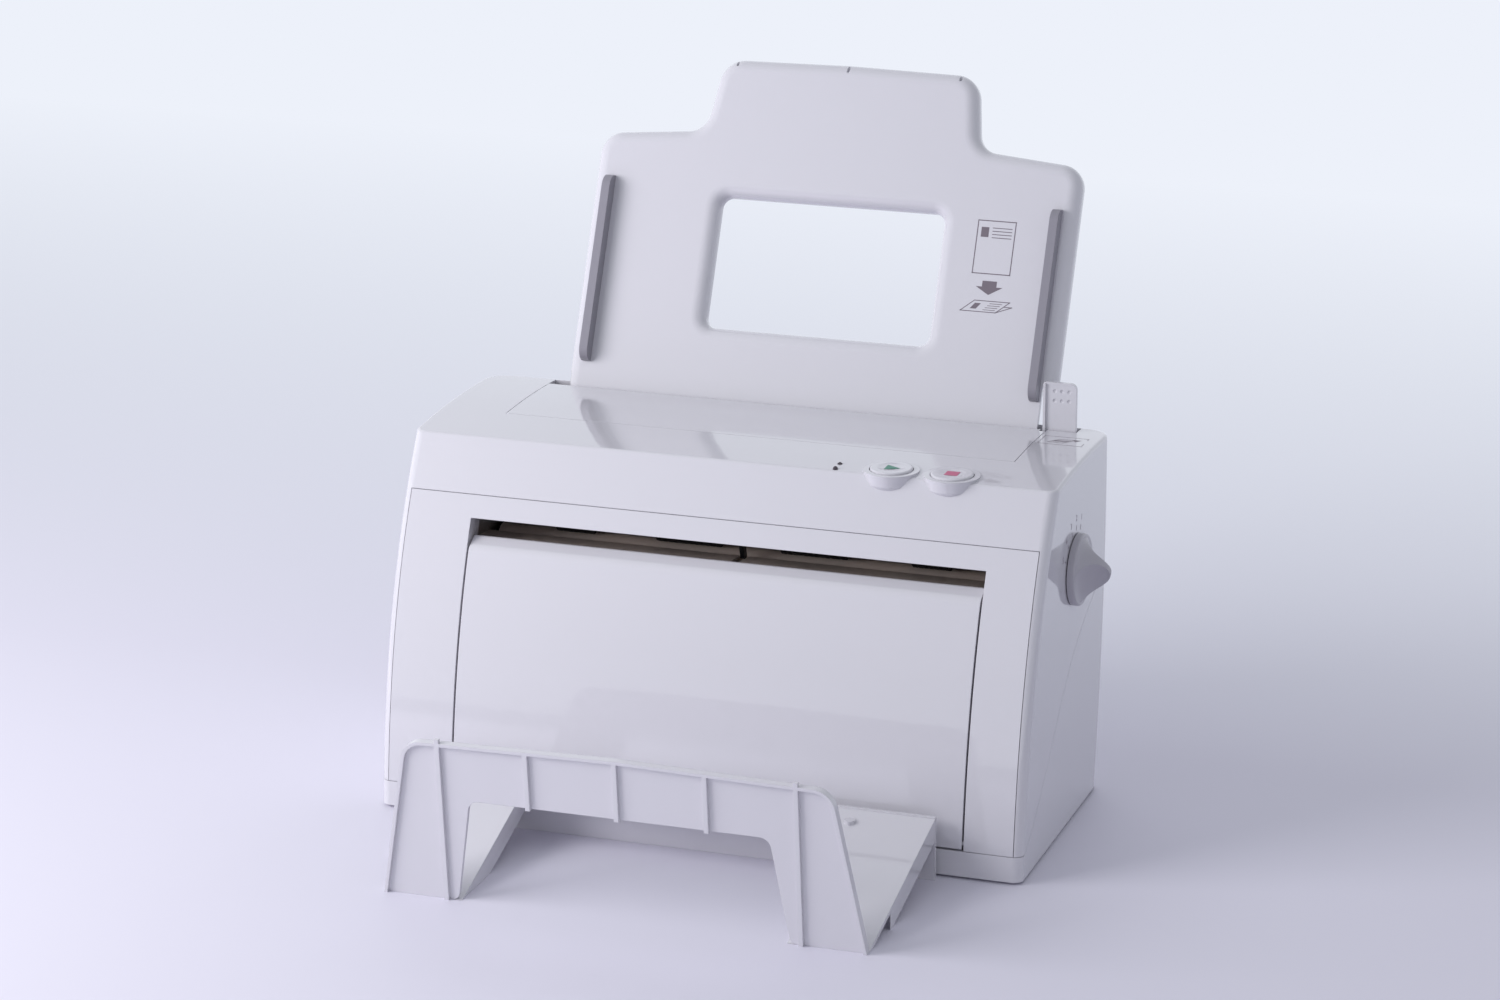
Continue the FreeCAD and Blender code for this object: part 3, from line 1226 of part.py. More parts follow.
def power_inlet():
    x, z = inlet_place()
    half_w = INLET_WIDTH / 2 - 0.1
    half_h = INLET_HEIGHT / 2 - 0.1
    rear = rear_inner_y(z) + WALL
    shell = box(x - half_w, rear - 16, z - half_h, x + half_w, rear - 0.4, z + half_h)
    socket = box(x - half_w + 2.5, rear - 13, z - half_h + 3.0, x + half_w - 2.5, rear + 1, z + half_h - 3.0)
    socket = socket.makeFillet(3.0, edges_near(socket, lambda a, m, b: abs(a.y - b.y) > 5))
    shell = shell.cut(socket)
    pins = [Part.makeCylinder(1.2, 9.0, V(x + s * 4.3, rear - 14, z), V(0, 1, 0)) for s in (-1, 1)]
    flange = box(x - half_w - 3, rear - 17, z - half_h - 2, x + half_w + 3, rear - 15, z + half_h + 2)
    return fuse_all([shell, flange] + pins)


# Feet and screws

def rubber_feet():
    feet = []
    for x in (-HALF_WIDTH + FOOT_INSET_X, HALF_WIDTH - FOOT_INSET_X):
        for y in (FOOT_INSET_Y, REAR_FOOT_Y - FOOT_INSET_Y):
            feet.append(post(x, y, FOOT_R, 0, FOOT_HEIGHT))
    feet.append(post(0, ORIGIN_Y, FOOT_R, 0, FOOT_HEIGHT))
    return Part.makeCompound(feet)


def casing_screws():
    screws = []
    for x, y in screw_places():
        head = Part.makeCone(3.0, 1.4, 1.6, V(x, y, FOOT_HEIGHT + 0.05), V(0, 0, 1))
        shank = post(x, y, 1.2, FOOT_HEIGHT + 1.0, FOOT_HEIGHT + WALL + FRAME_THICK + 2.0)
        screws.append(head.fuse(shank))
    return Part.makeCompound(screws)


# Catch tray

def catch_lean():
    return math.degrees(math.atan2(CATCH_TOP_Z, CATCH_TOP_Y - CATCH_FOOT_Y))


def catch_front():
    """Leaning front wall with its arch, rim and ribs, drawn flat and then stood up."""
    rise = math.hypot(CATCH_TOP_Z, CATCH_TOP_Y - CATCH_FOOT_Y)
    foot = CATCH_FOOT_HALF
    top = CATCH_TOP_HALF
    arch = CATCH_ARCH_Z
    outline = [(-foot, 0, 1.5), (-CATCH_ARCH_FOOT_HALF, 0, 3.5), (-CATCH_ARCH_TOP_HALF, arch, 5.0),
               (CATCH_ARCH_TOP_HALF, arch, 5.0), (CATCH_ARCH_FOOT_HALF, 0, 3.5), (foot, 0, 1.5),
               (top, rise - 1.0, 10.0), (0, rise + 0.9, 0), (-top, rise - 1.0, 10.0)]
    wall = plate_xy(outline, -CATCH_WALL, 0)
    rim_outer = [(-foot, 0, 0), (foot, 0, 0), (top, rise - 1.0, 10.0), (0, rise + 0.9, 0), (-top, rise - 1.0, 10.0)]
    t = CATCH_BEAD
    rim_inner = [(-foot + t, -5, 0), (foot - t, -5, 0), (foot - t, 0, 0), (top - t, rise - 1.0 - t, 10.0 - t),
                 (0, rise + 0.9 - t, 0), (-top + t, rise - 1.0 - t, 10.0 - t), (-foot + t, 0, 0)]
    rim = plate_xy(rim_outer, -CATCH_WALL, CATCH_RIM).cut(plate_xy(rim_inner, -CATCH_WALL - 1, CATCH_RIM + 1))
    pieces = [wall, rim]
    t = CATCH_RIB
    for k in range(-2, 3):
        u = k * CATCH_RIB_PITCH
        low = arch - 0.5 if abs(k) < 2 else 0.0
        high = rise - 0.5 if abs(k) < 2 else rise + 1.2
        pieces.append(box(u - t / 2, low, -0.1, u + t / 2, high, CATCH_RIM))
    return on_slope(fuse_all(pieces), CATCH_X, CATCH_FOOT_Y, 0, catch_lean())


def catch_floor_z(y):
    return CATCH_REAR_Z * (y - CATCH_FOOT_Y) / (CATCH_REAR_Y - CATCH_FOOT_Y)


def catch_floor_side(side):
    """One sloping runner with a skirt down each long edge."""
    inner = CATCH_ARCH_FOOT_HALF - 1.5
    t = CATCH_WALL
    front_y = CATCH_FOOT_Y
    rear_y = CATCH_REAR_Y
    runner = plate_yz([(front_y, -t, 0), (rear_y, CATCH_REAR_Z - t, 0), (rear_y, CATCH_REAR_Z, 0), (front_y, 0.0, 0)],
                      inner, CATCH_REAR_HALF)
    skirt = [(front_y, 0.0, 0), (front_y, -CATCH_SKIRT, 0), (rear_y, CATCH_REAR_Z - CATCH_SKIRT, 0),
             (rear_y, CATCH_REAR_Z, 0)]
    inner_skirt = plate_yz(skirt, inner, inner + t)
    outer_skirt = plate_yz(skirt, CATCH_REAR_HALF - t, CATCH_REAR_HALF)
    shape = fuse_all([runner, inner_skirt, outer_skirt])
    taper = plate_xy([(CATCH_REAR_HALF + 5, front_y - 1, 0), (CATCH_FOOT_HALF, front_y - 1, 0),
                      (CATCH_FOOT_HALF, front_y, 0), (CATCH_REAR_HALF, rear_y, 0), (CATCH_REAR_HALF + 5, rear_y, 0)],
                     -20, 60)
    shape = shape.cut(taper)
    if side < 0:
        shape = shape.mirror(V(0, 0, 0), V(1, 0, 0))
    return shape


def catch_tray():
    t = CATCH_WALL
    rear = box(-CATCH_REAR_HALF, CATCH_REAR_Y - t, 0, CATCH_REAR_HALF, CATCH_REAR_Y, CATCH_REAR_Z)
    strip = plate_yz([(CATCH_REAR_Y - 20.0, catch_floor_z(CATCH_REAR_Y - 20.0) - t, 0), (CATCH_REAR_Y, CATCH_REAR_Z - t, 0),
                      (CATCH_REAR_Y, CATCH_REAR_Z, 0), (CATCH_REAR_Y - 20.0, catch_floor_z(CATCH_REAR_Y - 20.0), 0)],
                     -CATCH_ARCH_FOOT_HALF, CATCH_ARCH_FOOT_HALF)
    pieces = [rear, strip, catch_floor_side(-1), catch_floor_side(1)]
    for side in (-1, 1):
        y = CATCH_REAR_Y - 10.2
        pieces.append(post(side * 76.0, y, 2.4, catch_floor_z(y) - 1.5, catch_floor_z(y) + 1.2))
    floor = fuse_all(pieces)
    floor.translate(V(CATCH_X, 0, 0))
    tray = fuse_all([floor, catch_front()])
    return tray.common(box(-200, -150, 0, 200, 50, 200))


# Output

def save(name, shape):
    shape = shape.copy()
    shape.translate(V(0, -ORIGIN_Y, 0))
    shape.exportStep("parts/" + name + ".step")


def main():
    os.makedirs("parts", exist_ok=True)
    shell = outer_block().cut(inner_block())
    save("base_casing", base_casing(shell))
    save("hood", hood(shell))
    save("front_panel", front_panel())
    save("front_door", front_door())
    save("top_lid", top_lid())
    save("start_button", button(BUTTON_X[0]))
    save("stop_button", button(BUTTON_X[1]))
    save("button_board", button_board())
    save("switch_bodies", switch_bodies())
    save("lamp_lenses", lamp_lenses())
    save("feed_tray", feed_tray())
    save("paper_guides", paper_guides())
    save("paper_lift_plate", lift_plate())
    save("separator_pad", separator_pad())
    save("pickup_shaft", pickup_shaft())
    save("pickup_tyres", pickup_tyres())
    save("pickup_gear", gear(PICKUP, PICKUP_TEETH, PICKUP_PHASE, GEAR_X, JOURNAL_R))
    save("feed_release_lever", release_lever())
    save("left_side_frame", left_side_frame())
    save("right_side_frame", right_side_frame())
    save("roller_bushes", roller_bushes())
    save("tie_bars", tie_bars())
    save("gear_studs", gear_studs())
    save("main_fold_roller", full_roller(MAIN, ROLLER_R))
    save("main_roller_gear", gear(MAIN, ROLLER_TEETH, MAIN_PHASE, GEAR_X, JOURNAL_R))
    save("entry_fold_roller", full_roller(ENTRY, ROLLER_R))
    save("entry_roller_gear", gear(ENTRY, ROLLER_TEETH, ENTRY_PHASE, GEAR_X, JOURNAL_R))
    save("lower_exit_roller", full_roller(LOWER_EXIT, ROLLER_R))
    save("lower_exit_gear", gear(LOWER_EXIT, ROLLER_TEETH, LOWER_PHASE, GEAR_X, JOURNAL_R))
    save("upper_exit_shaft", upper_exit_shaft())
    save("exit_tyres", exit_tyres())
    save("upper_exit_gear", gear(UPPER_EXIT, ROLLER_TEETH, UPPER_PHASE, GEAR_X, JOURNAL_R))
    save("idler_gear", gear(IDLER, IDLER_TEETH, IDLER_PHASE, GEAR_X, STUD_R + PIN_CLEARANCE))
    save("reduction_gear", reduction_gear())
    save("motor_shaft", motor_shaft())
    save("motor_housing", motor_housing())
    save("fold_plate_outer", fold_plate_outer())
    save("fold_plate_inner", fold_plate_inner())
    save("upper_fold_plate_outer", upper_sheet(PAPER_GAP / 2, PAPER_GAP / 2 + SHEET))
    save("upper_fold_plate_inner", upper_sheet(-PAPER_GAP / 2 - SHEET, -PAPER_GAP / 2))
    save("feed_chute_upper", chute_sheet(-PAPER_GAP / 2 - SHEET, -PAPER_GAP / 2))
    save("feed_chute_lower", chute_sheet(PAPER_GAP / 2, PAPER_GAP / 2 + SHEET))
    save("exit_guide", exit_guide())
    save("exit_sensor_flag", sensor_flag())
    save("selector_knob", selector_knob())
    save("selector_shaft", selector_shaft())
    save("fold_stop", fold_stop())
    save("control_board", control_board())
    save("power_inlet", power_inlet())
    save("rubber_feet", rubber_feet())
    save("casing_screws", casing_screws())
    save("catch_tray", catch_tray())


main()
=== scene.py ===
import json
import math

import bmesh
import bpy
from bpy.props import FloatProperty, FloatVectorProperty, IntProperty, PointerProperty
from mathutils import Matrix, Vector


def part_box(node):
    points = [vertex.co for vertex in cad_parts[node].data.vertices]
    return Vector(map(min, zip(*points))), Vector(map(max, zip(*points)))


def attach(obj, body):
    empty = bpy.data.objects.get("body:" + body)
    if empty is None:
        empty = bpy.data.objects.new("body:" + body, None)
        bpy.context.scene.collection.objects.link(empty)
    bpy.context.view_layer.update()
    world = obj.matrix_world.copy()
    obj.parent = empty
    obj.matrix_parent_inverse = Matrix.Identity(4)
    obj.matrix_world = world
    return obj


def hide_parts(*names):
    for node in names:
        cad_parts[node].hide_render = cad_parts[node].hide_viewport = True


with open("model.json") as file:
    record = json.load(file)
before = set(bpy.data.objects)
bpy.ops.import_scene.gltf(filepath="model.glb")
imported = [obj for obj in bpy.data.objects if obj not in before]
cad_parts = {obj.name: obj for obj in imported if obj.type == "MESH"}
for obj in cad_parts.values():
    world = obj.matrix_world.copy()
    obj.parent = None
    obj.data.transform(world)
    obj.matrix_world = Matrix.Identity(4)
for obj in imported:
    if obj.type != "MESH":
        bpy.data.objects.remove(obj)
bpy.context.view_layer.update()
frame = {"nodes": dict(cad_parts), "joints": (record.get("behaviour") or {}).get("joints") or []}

bl_info = {
    "name": "Paper folder finishes and fittings",
    "version": (1, 0, 0),
    "blender": (4, 5, 0),
    "location": "View3D > Sidebar > Folder",
    "description": "Finishes the paper folding machine and sets its studio",
    "category": "Object",
}

MM = 0.001
DIAL_REST = 125.0
CAMERA_PLACE = (0.6396, -1.83222, 0.75284)
CAMERA_TURN = (19.18, 17.57, -0.27)
FLOOR_REACH = 9.0
FADE_NEAR = 0.1
FADE_FAR = 1.2
NODES = frame["nodes"]


# Settings

class FinishSettings(bpy.types.PropertyGroup):
    white: FloatVectorProperty(
        name="White plastic", description="Glossy casing colour", subtype="COLOR",
        size=3, min=0, max=1, default=(0.700, 0.688, 0.735))
    grey: FloatVectorProperty(
        name="Grey plastic", description="Paper guides", subtype="COLOR",
        size=3, min=0, max=1, default=(0.300, 0.288, 0.330))
    knob: FloatVectorProperty(
        name="Knob plastic", description="Selector knob", subtype="COLOR",
        size=3, min=0, max=1, default=(0.470, 0.455, 0.500))
    black: FloatVectorProperty(
        name="Black plastic", description="Inner mouldings", subtype="COLOR",
        size=3, min=0, max=1, default=(0.012, 0.012, 0.014))
    ink: FloatVectorProperty(
        name="Ink", description="Grey printed symbols", subtype="COLOR",
        size=3, min=0, max=1, default=(0.20, 0.17, 0.20))
    polish: FloatProperty(
        name="Polish", description="Roughness of the glossy casing",
        min=0.02, max=0.8, default=0.09)


class PrintSettings(bpy.types.PropertyGroup):
    line: FloatProperty(
        name="Line width", description="Width of the printed outlines",
        unit="LENGTH", default=0.45 * MM, min=0.1 * MM)
    thickness: FloatProperty(
        name="Ink thickness", description="How proud the ink stands",
        unit="LENGTH", default=0.04 * MM, min=0.01 * MM)
    dial_radius: FloatProperty(
        name="Dial radius", description="Radius of the dial's numbers",
        unit="LENGTH", default=23.2 * MM, min=18 * MM)
    dial_steps: IntProperty(
        name="Dial steps", description="How many positions are numbered",
        default=5, min=2, max=9)


class FittingSettings(bpy.types.PropertyGroup):
    groove_pitch: FloatProperty(
        name="Tyre groove pitch", description="Distance between the grooves in a rubber tyre",
        unit="LENGTH", default=2.4 * MM, min=0.5 * MM)
    groove_depth: FloatProperty(
        name="Tyre groove depth", description="Depth of a groove in a rubber tyre",
        unit="LENGTH", default=0.25 * MM, min=0.0)


class StageSettings(bpy.types.PropertyGroup):
    lens: FloatProperty(
        name="Lens", description="Focal length on a 36 mm wide sensor", default=109.438, min=10)
    # Painted shade: this near floor colour is darker than the backdrop colour, standing in for the light
    # falling off in front of and round the machine.
    floor: FloatVectorProperty(
        name="Floor", description="Colour of the floor near the machine", subtype="COLOR",
        size=3, min=0, max=1, default=(0.79, 0.77, 0.87))
    backdrop: FloatVectorProperty(
        name="Backdrop", description="Colour of the far floor and the sky", subtype="COLOR",
        size=3, min=0, max=1, default=(0.847, 0.879, 0.956))
    daylight: FloatProperty(
        name="Daylight", description="Strength of the light from all round", default=0.50, min=0)
    softbox: FloatProperty(
        name="Softbox", description="Power of the large light on the left", unit="POWER",
        default=10.0, min=0)
    back_light: FloatProperty(
        name="Back light", description="Power of the wide light behind the machine", unit="POWER",
        default=15.0, min=0)


# Places taken from the frame

def joint(name):
    for entry in frame["joints"]:
        if entry["name"] == name:
            return entry
    raise RuntimeError("the frame has no joint " + name)


def tray_axes():
    """Origin, right, up-slope and outward directions of the feed tray's paper face."""
    up = Vector(joint("feed_tray_lift")["axis"]).normalized()
    right = Vector((1, 0, 0))
    out = right.cross(up)
    low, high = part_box("paper_guides")
    corners = [v.co for v in NODES["paper_guides"].data.vertices]
    face = min(c.dot(out) for c in corners)
    foot = min(c.dot(up) for c in corners) - 11.4 * MM
    middle = (low.x + high.x) / 2
    return right * middle + up * foot + out * face, right, up, out


# Mesh helpers

def add_mesh(name, verts, faces, material, body, smooth=False):
    mesh = bpy.data.meshes.new(name)
    mesh.from_pydata([tuple(v) for v in verts], [], faces)
    mesh.validate()
    mesh.update()
    obj = bpy.data.objects.new(name, mesh)
    bpy.context.scene.collection.objects.link(obj)
    if smooth:
        for polygon in mesh.polygons:
            polygon.use_smooth = True
    if material is not None:
        mesh.materials.append(material)
    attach(obj, body)
    return obj


def printed(name, outlines, place, thickness, material, body):
    """Flat ink shapes: closed 2D outlines without holes, given to place(x, y, height)."""
    verts = []
    faces = []
    for outline in outlines:
        first = len(verts)
        count = len(outline)
        for height in (0.0, thickness):
            verts += [place(x, y, height) for x, y in outline]
        top = [first + count + i for i in range(count)]
        faces.append(top)
        faces.append([first + i for i in reversed(range(count))])
        for i in range(count):
            j = (i + 1) % count
            faces.append([first + i, first + j, first + count + j, first + count + i])
    return add_mesh(name, verts, faces, material, body)


def stroke(points, width):
    """A line of the given width through 2D points, as one quad per stretch."""
    quads = []
    for (x0, y0), (x1, y1) in zip(points, points[1:]):
        run = math.hypot(x1 - x0, y1 - y0)
        nx = -(y1 - y0) / run * width / 2
        ny = (x1 - x0) / run * width / 2
        ex = (x1 - x0) / run * width / 2
        ey = (y1 - y0) / run * width / 2
        quads.append([(x0 - ex - nx, y0 - ey - ny), (x1 + ex - nx, y1 + ey - ny),
                      (x1 + ex + nx, y1 + ey + ny), (x0 - ex + nx, y0 - ey + ny)])
    return quads


def turned(name, profile, centre, steps, material, body):
    """Closed solid turned about an X axis through centre: profile is (x, radius) pairs."""
    verts = []
    faces = []
    rings = len(profile)
    for x, radius in profile:
        for k in range(steps):
            a = 2 * math.pi * k / steps
            verts.append((x, centre[0] + radius * math.cos(a), centre[1] + radius * math.sin(a)))
    for i in range(rings):
        j = (i + 1) % rings
        for k in range(steps):
            m = (k + 1) % steps
            faces.append([i * steps + k, j * steps + k, j * steps + m, i * steps + m])
    obj = add_mesh(name, verts, faces, material, body, smooth=True)
    tidy_normals(obj, 40)
    return obj


def tidy_normals(obj, degrees):
    mesh = obj.data
    work = bmesh.new()
    work.from_mesh(mesh)
    bmesh.ops.recalc_face_normals(work, faces=work.faces)
    work.to_mesh(mesh)
    work.free()
    mesh.set_sharp_from_angle(angle=math.radians(degrees))


# Shader groups

def new_group(name, inputs, outputs):
    tree = bpy.data.node_groups.new(name, "ShaderNodeTree")
    kinds = {"c": "NodeSocketColor", "f": "NodeSocketFloat", "v": "NodeSocketVector"}
    for label, kind, value in inputs:
        socket = tree.interface.new_socket(name=label, in_out="INPUT", socket_type=kinds[kind])
        if kind == "c":
            socket.default_value = (value[0], value[1], value[2], 1.0)
        elif kind == "f":
            socket.default_value = value
    for label, kind in outputs:
        tree.interface.new_socket(name=label, in_out="OUTPUT", socket_type=kinds[kind])
    start = tree.nodes.new("NodeGroupInput")
    end = tree.nodes.new("NodeGroupOutput")
    return tree, start, end


def add_node(tree, kind, links=(), **values):
    node = tree.nodes.new(kind)
    for key, value in values.items():
        setattr(node, key, value)
    for source, target in links:
        tree.links.new(source, node.inputs[target])
    return node


def noise(tree, coordinate, scale, detail=2.0, roughness=0.5):
    node = add_node(tree, "ShaderNodeTexNoise", [(coordinate, "Vector")])
    if isinstance(scale, (int, float)):
        node.inputs["Scale"].default_value = scale
    else:
        tree.links.new(scale, node.inputs["Scale"])
    node.inputs["Detail"].default_value = detail
    node.inputs["Roughness"].default_value = roughness
    return node.outputs["Fac"]


def maths(tree, operation, *terms):
    node = tree.nodes.new("ShaderNodeMath")
    node.operation = operation
    for i, term in enumerate(terms):
        if isinstance(term, (int, float)):
            node.inputs[i].default_value = term
        else:
            tree.links.new(term, node.inputs[i])
    return node.outputs[0]


def blend_colour(tree, factor, a, b, mode="MIX"):
    node = tree.nodes.new("ShaderNodeMix")
    node.data_type = "RGBA"
    node.blend_type = mode
    for index, value in ((0, factor), (6, a), (7, b)):
        if isinstance(value, (int, float)):
            node.inputs[index].default_value = value
        elif isinstance(value, tuple):
            node.inputs[index].default_value = value
        else:
            tree.links.new(value, node.inputs[index])
    return node.outputs[2]


def moulded_group():
    """Moulded plastic or rubber: slow colour drift, handling marks in the gloss, fine skin."""
    tree, start, end = new_group(
        "Moulded surface",
        [("Color", "c", (0.8, 0.8, 0.8)), ("Drift", "f", 0.03), ("Polish", "f", 0.2),
         ("Handling", "f", 0.05), ("Grain scale", "f", 1500.0), ("Grain height", "f", 0.00001),
         ("Edge radius", "f", 0.0004)],
        [("Color", "c"), ("Roughness", "f"), ("Normal", "v")])
    place = tree.nodes.new("ShaderNodeTexCoord").outputs["Object"]
    slow = noise(tree, place, 9.0, 2.0)
    fine = noise(tree, place, 140.0, 4.0, 0.6)
    drift = maths(tree, "MULTIPLY", maths(tree, "ADD", maths(tree, "MULTIPLY", slow, 0.7),
                                          maths(tree, "MULTIPLY", fine, 0.3)), start.outputs["Drift"])
    darker = blend_colour(tree, 1.0, start.outputs["Color"], (0.80, 0.79, 0.76, 1.0), "MULTIPLY")
    tree.links.new(blend_colour(tree, drift, start.outputs["Color"], darker), end.inputs["Color"])
    smear = noise(tree, place, 38.0, 5.0, 0.65)
    marks = maths(tree, "MULTIPLY", maths(tree, "SUBTRACT", smear, 0.5), start.outputs["Handling"])
    tree.links.new(maths(tree, "ADD", start.outputs["Polish"], marks), end.inputs["Roughness"])
    grain = noise(tree, place, start.outputs["Grain scale"], 2.0)
    bevel = tree.nodes.new("ShaderNodeBevel")
    bevel.samples = 6
    tree.links.new(start.outputs["Edge radius"], bevel.inputs["Radius"])
    bump = add_node(tree, "ShaderNodeBump", [(grain, "Height"), (start.outputs["Grain height"], "Distance"),
                                             (bevel.outputs["Normal"], "Normal")])
    tree.links.new(bump.outputs["Normal"], end.inputs["Normal"])
    return tree


def metal_group():
    """Drawn or ground metal: grain along one axis, with slow tarnish."""
    tree, start, end = new_group(
        "Metal grain",
        [("Color", "c", (0.6, 0.6, 0.6)), ("Tarnish", "f", 0.2), ("Polish", "f", 0.3),
         ("Along X", "f", 1.0), ("Across", "f", 60.0), ("Grain height", "f", 0.000004)],
        [("Color", "c"), ("Roughness", "f"), ("Normal", "v")])
    place = tree.nodes.new("ShaderNodeTexCoord").outputs["Object"]
    stretch = tree.nodes.new("ShaderNodeCombineXYZ")
    for socket, name in (("X", "Along X"), ("Y", "Across"), ("Z", "Across")):
        tree.links.new(start.outputs[name], stretch.inputs[socket])
    scaled = add_node(tree, "ShaderNodeVectorMath", [(place, 0), (stretch.outputs[0], 1)],
                      operation="MULTIPLY")
    grain = noise(tree, scaled.outputs[0], 60.0, 4.0, 0.7)
    slow = noise(tree, place, 26.0, 4.0, 0.6)
    dull = blend_colour(tree, 1.0, start.outputs["Color"], (0.62, 0.58, 0.54, 1.0), "MULTIPLY")
    fade = maths(tree, "MULTIPLY", slow, start.outputs["Tarnish"])
    tree.links.new(blend_colour(tree, fade, start.outputs["Color"], dull), end.inputs["Color"])
    uneven = maths(tree, "MULTIPLY", maths(tree, "SUBTRACT", grain, 0.5), 0.22)
    rough = maths(tree, "ADD", start.outputs["Polish"], uneven)
    tree.links.new(rough, end.inputs["Roughness"])
    bump = add_node(tree, "ShaderNodeBump", [(grain, "Height"), (start.outputs["Grain height"], "Distance")])
    tree.links.new(bump.outputs["Normal"], end.inputs["Normal"])
    return tree


# Materials

def surface(name, group, values, **sockets):
    """Material whose colour, roughness and normal come from a shader group."""
    material = bpy.data.materials.new(name)
    material.use_nodes = True
    tree = material.node_tree
    principled = tree.nodes["Principled BSDF"]
    node = tree.nodes.new("ShaderNodeGroup")
    node.node_tree = group
    for label, value in values.items():
        if isinstance(value, (tuple, list)) or hasattr(value, "__len__"):
            value = (value[0], value[1], value[2], 1.0)
        node.inputs[label].default_value = value
    tree.links.new(node.outputs["Color"], principled.inputs["Base Color"])
    tree.links.new(node.outputs["Roughness"], principled.inputs["Roughness"])
    tree.links.new(node.outputs["Normal"], principled.inputs["Normal"])
    for label, value in sockets.items():
        principled.inputs[label.replace("_", " ")].default_value = value
    return material


def plastic(name, colour, polish, **changes):
    values = {"Color": colour, "Polish": polish, "Drift": 0.10, "Handling": 0.05,
              "Grain scale": 900.0, "Grain height": 0.000003, "Edge radius": 0.0004}
    values.update(changes)
    return surface(name, bpy.data.node_groups["Moulded surface"], values, IOR=1.49)


def metal(name, colour, polish, **changes):
    values = {"Color": colour, "Polish": polish}
    values.update(changes)
    return surface(name, bpy.data.node_groups["Metal grain"], values, Metallic=1.0)


def ink_material(name, colour):
    return plastic(name, colour, 0.45, **{"Drift": 0.25, "Handling": 0.1, "Edge radius": 0.00002})


def board_material():
    """Green solder mask over copper tracks, with dark components standing forward of it."""
    material = surface("Circuit board", bpy.data.node_groups["Moulded surface"],
                       {"Color": (0.02, 0.13, 0.06), "Polish": 0.28, "Drift": 0.3, "Grain height": 0.000008,
                        "Edge radius": 0.0001}, IOR=1.5)
    tree = material.node_tree
    principled = tree.nodes["Principled BSDF"]
    group = [n for n in tree.nodes if n.type == "GROUP"][0]
    place = tree.nodes.new("ShaderNodeTexCoord").outputs["Object"]
    bricks = add_node(tree, "ShaderNodeTexBrick", [(place, "Vector")])
    bricks.inputs["Scale"].default_value = 120.0
    bricks.inputs["Mortar Size"].default_value = 0.08
    tracks = blend_colour(tree, maths(tree, "MULTIPLY", bricks.outputs["Fac"], 0.7),
                          group.outputs["Color"], (0.03, 0.24, 0.10, 1.0))
    cells = add_node(tree, "ShaderNodeTexVoronoi", [(place, "Vector")])
    cells.inputs["Scale"].default_value = 55.0
    bright = add_node(tree, "ShaderNodeRGBToBW", [(cells.outputs["Color"], "Color")]).outputs[0]
    part = blend_colour(tree, bright, (0.012, 0.012, 0.014, 1.0), (0.10, 0.11, 0.14, 1.0))
    depth = add_node(tree, "ShaderNodeSeparateXYZ", [(place, 0)]).outputs["Y"]
    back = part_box("control_board")[1].y - 2.4 * MM
    forward = maths(tree, "LESS_THAN", depth, back)
    on_board = maths(tree, "MULTIPLY", forward, maths(tree, "GREATER_THAN", depth, back - 20 * MM))
    tree.links.new(blend_colour(tree, on_board, tracks, part), principled.inputs["Base Color"])
    return material


def zinc_material():
    """Zinc-plated sheet with a faint spangle."""
    spangle = {"Along X": 8.0, "Across": 8.0, "Tarnish": 0.5}
    material = metal("Zinc sheet", (0.62, 0.63, 0.65), 0.34, **spangle)
    tree = material.node_tree
    principled = tree.nodes["Principled BSDF"]
    group = [n for n in tree.nodes if n.type == "GROUP"][0]
    place = tree.nodes.new("ShaderNodeTexCoord").outputs["Object"]
    cells = add_node(tree, "ShaderNodeTexVoronoi", [(place, "Vector")])
    cells.inputs["Scale"].default_value = 160.0
    grey = add_node(tree, "ShaderNodeRGBToBW", [(cells.outputs["Color"], "Color")]).outputs[0]
    shade = maths(tree, "ADD", maths(tree, "MULTIPLY", grey, 0.16), 0.84)
    tint = blend_colour(tree, 1.0, group.outputs["Color"], shade, "MULTIPLY")
    tree.links.new(tint, principled.inputs["Base Color"])
    return material


def lens_material():
    material = plastic("Lamp lens", (0.10, 0.08, 0.10), 0.12, **{"Edge radius": 0.0001})
    principled = material.node_tree.nodes["Principled BSDF"]
    principled.inputs["Transmission Weight"].default_value = 0.35
    return material


def finish(material_name, *names):
    material = bpy.data.materials[material_name]
    for name in names:
        obj = NODES[name]
        obj.data.materials.clear()
        obj.data.materials.append(material)


class FOLDER_OT_materials(bpy.types.Operator):
    """Make the shader groups and the machine's materials"""
    bl_idname = "folder.materials"
    bl_label = "Materials"

    def execute(self, context):
        finishes = context.scene.folder_finish
        moulded_group()
        metal_group()
        white = plastic("White plastic", finishes.white, finishes.polish)
        coat = white.node_tree.nodes["Principled BSDF"]
        coat.inputs["Coat Weight"].default_value = 1.0
        coat.inputs["Coat Roughness"].default_value = 0.02
        plastic("Grey plastic", finishes.grey, 0.34, **{"Grain height": 0.00001})
        plastic("Knob plastic", finishes.knob, 0.26)
        plastic("Black plastic", finishes.black, 0.42, **{"Grain height": 0.00002, "Drift": 0.4})
        plastic("Rubber", (0.010, 0.010, 0.011), 0.62,
                **{"Grain scale": 1400.0, "Grain height": 0.00004, "Drift": 0.6, "Handling": 0.2})
        plastic("Acetal", (0.70, 0.68, 0.60), 0.30, **{"Edge radius": 0.00015})
        metal("Steel", (0.58, 0.58, 0.60), 0.24, **{"Along X": 60.0, "Across": 2.0})
        plastic("Roller beige", (0.78, 0.66, 0.59), 0.32, **{"Grain scale": 1800.0, "Grain height": 0.00001})
        zinc_material()
        board_material()
        lens_material()
        ink_material("Grey ink", finishes.ink)
        ink_material("Green ink", (0.10, 0.30, 0.22))
        ink_material("Red ink", (0.62, 0.14, 0.26))
        return {"FINISHED"}


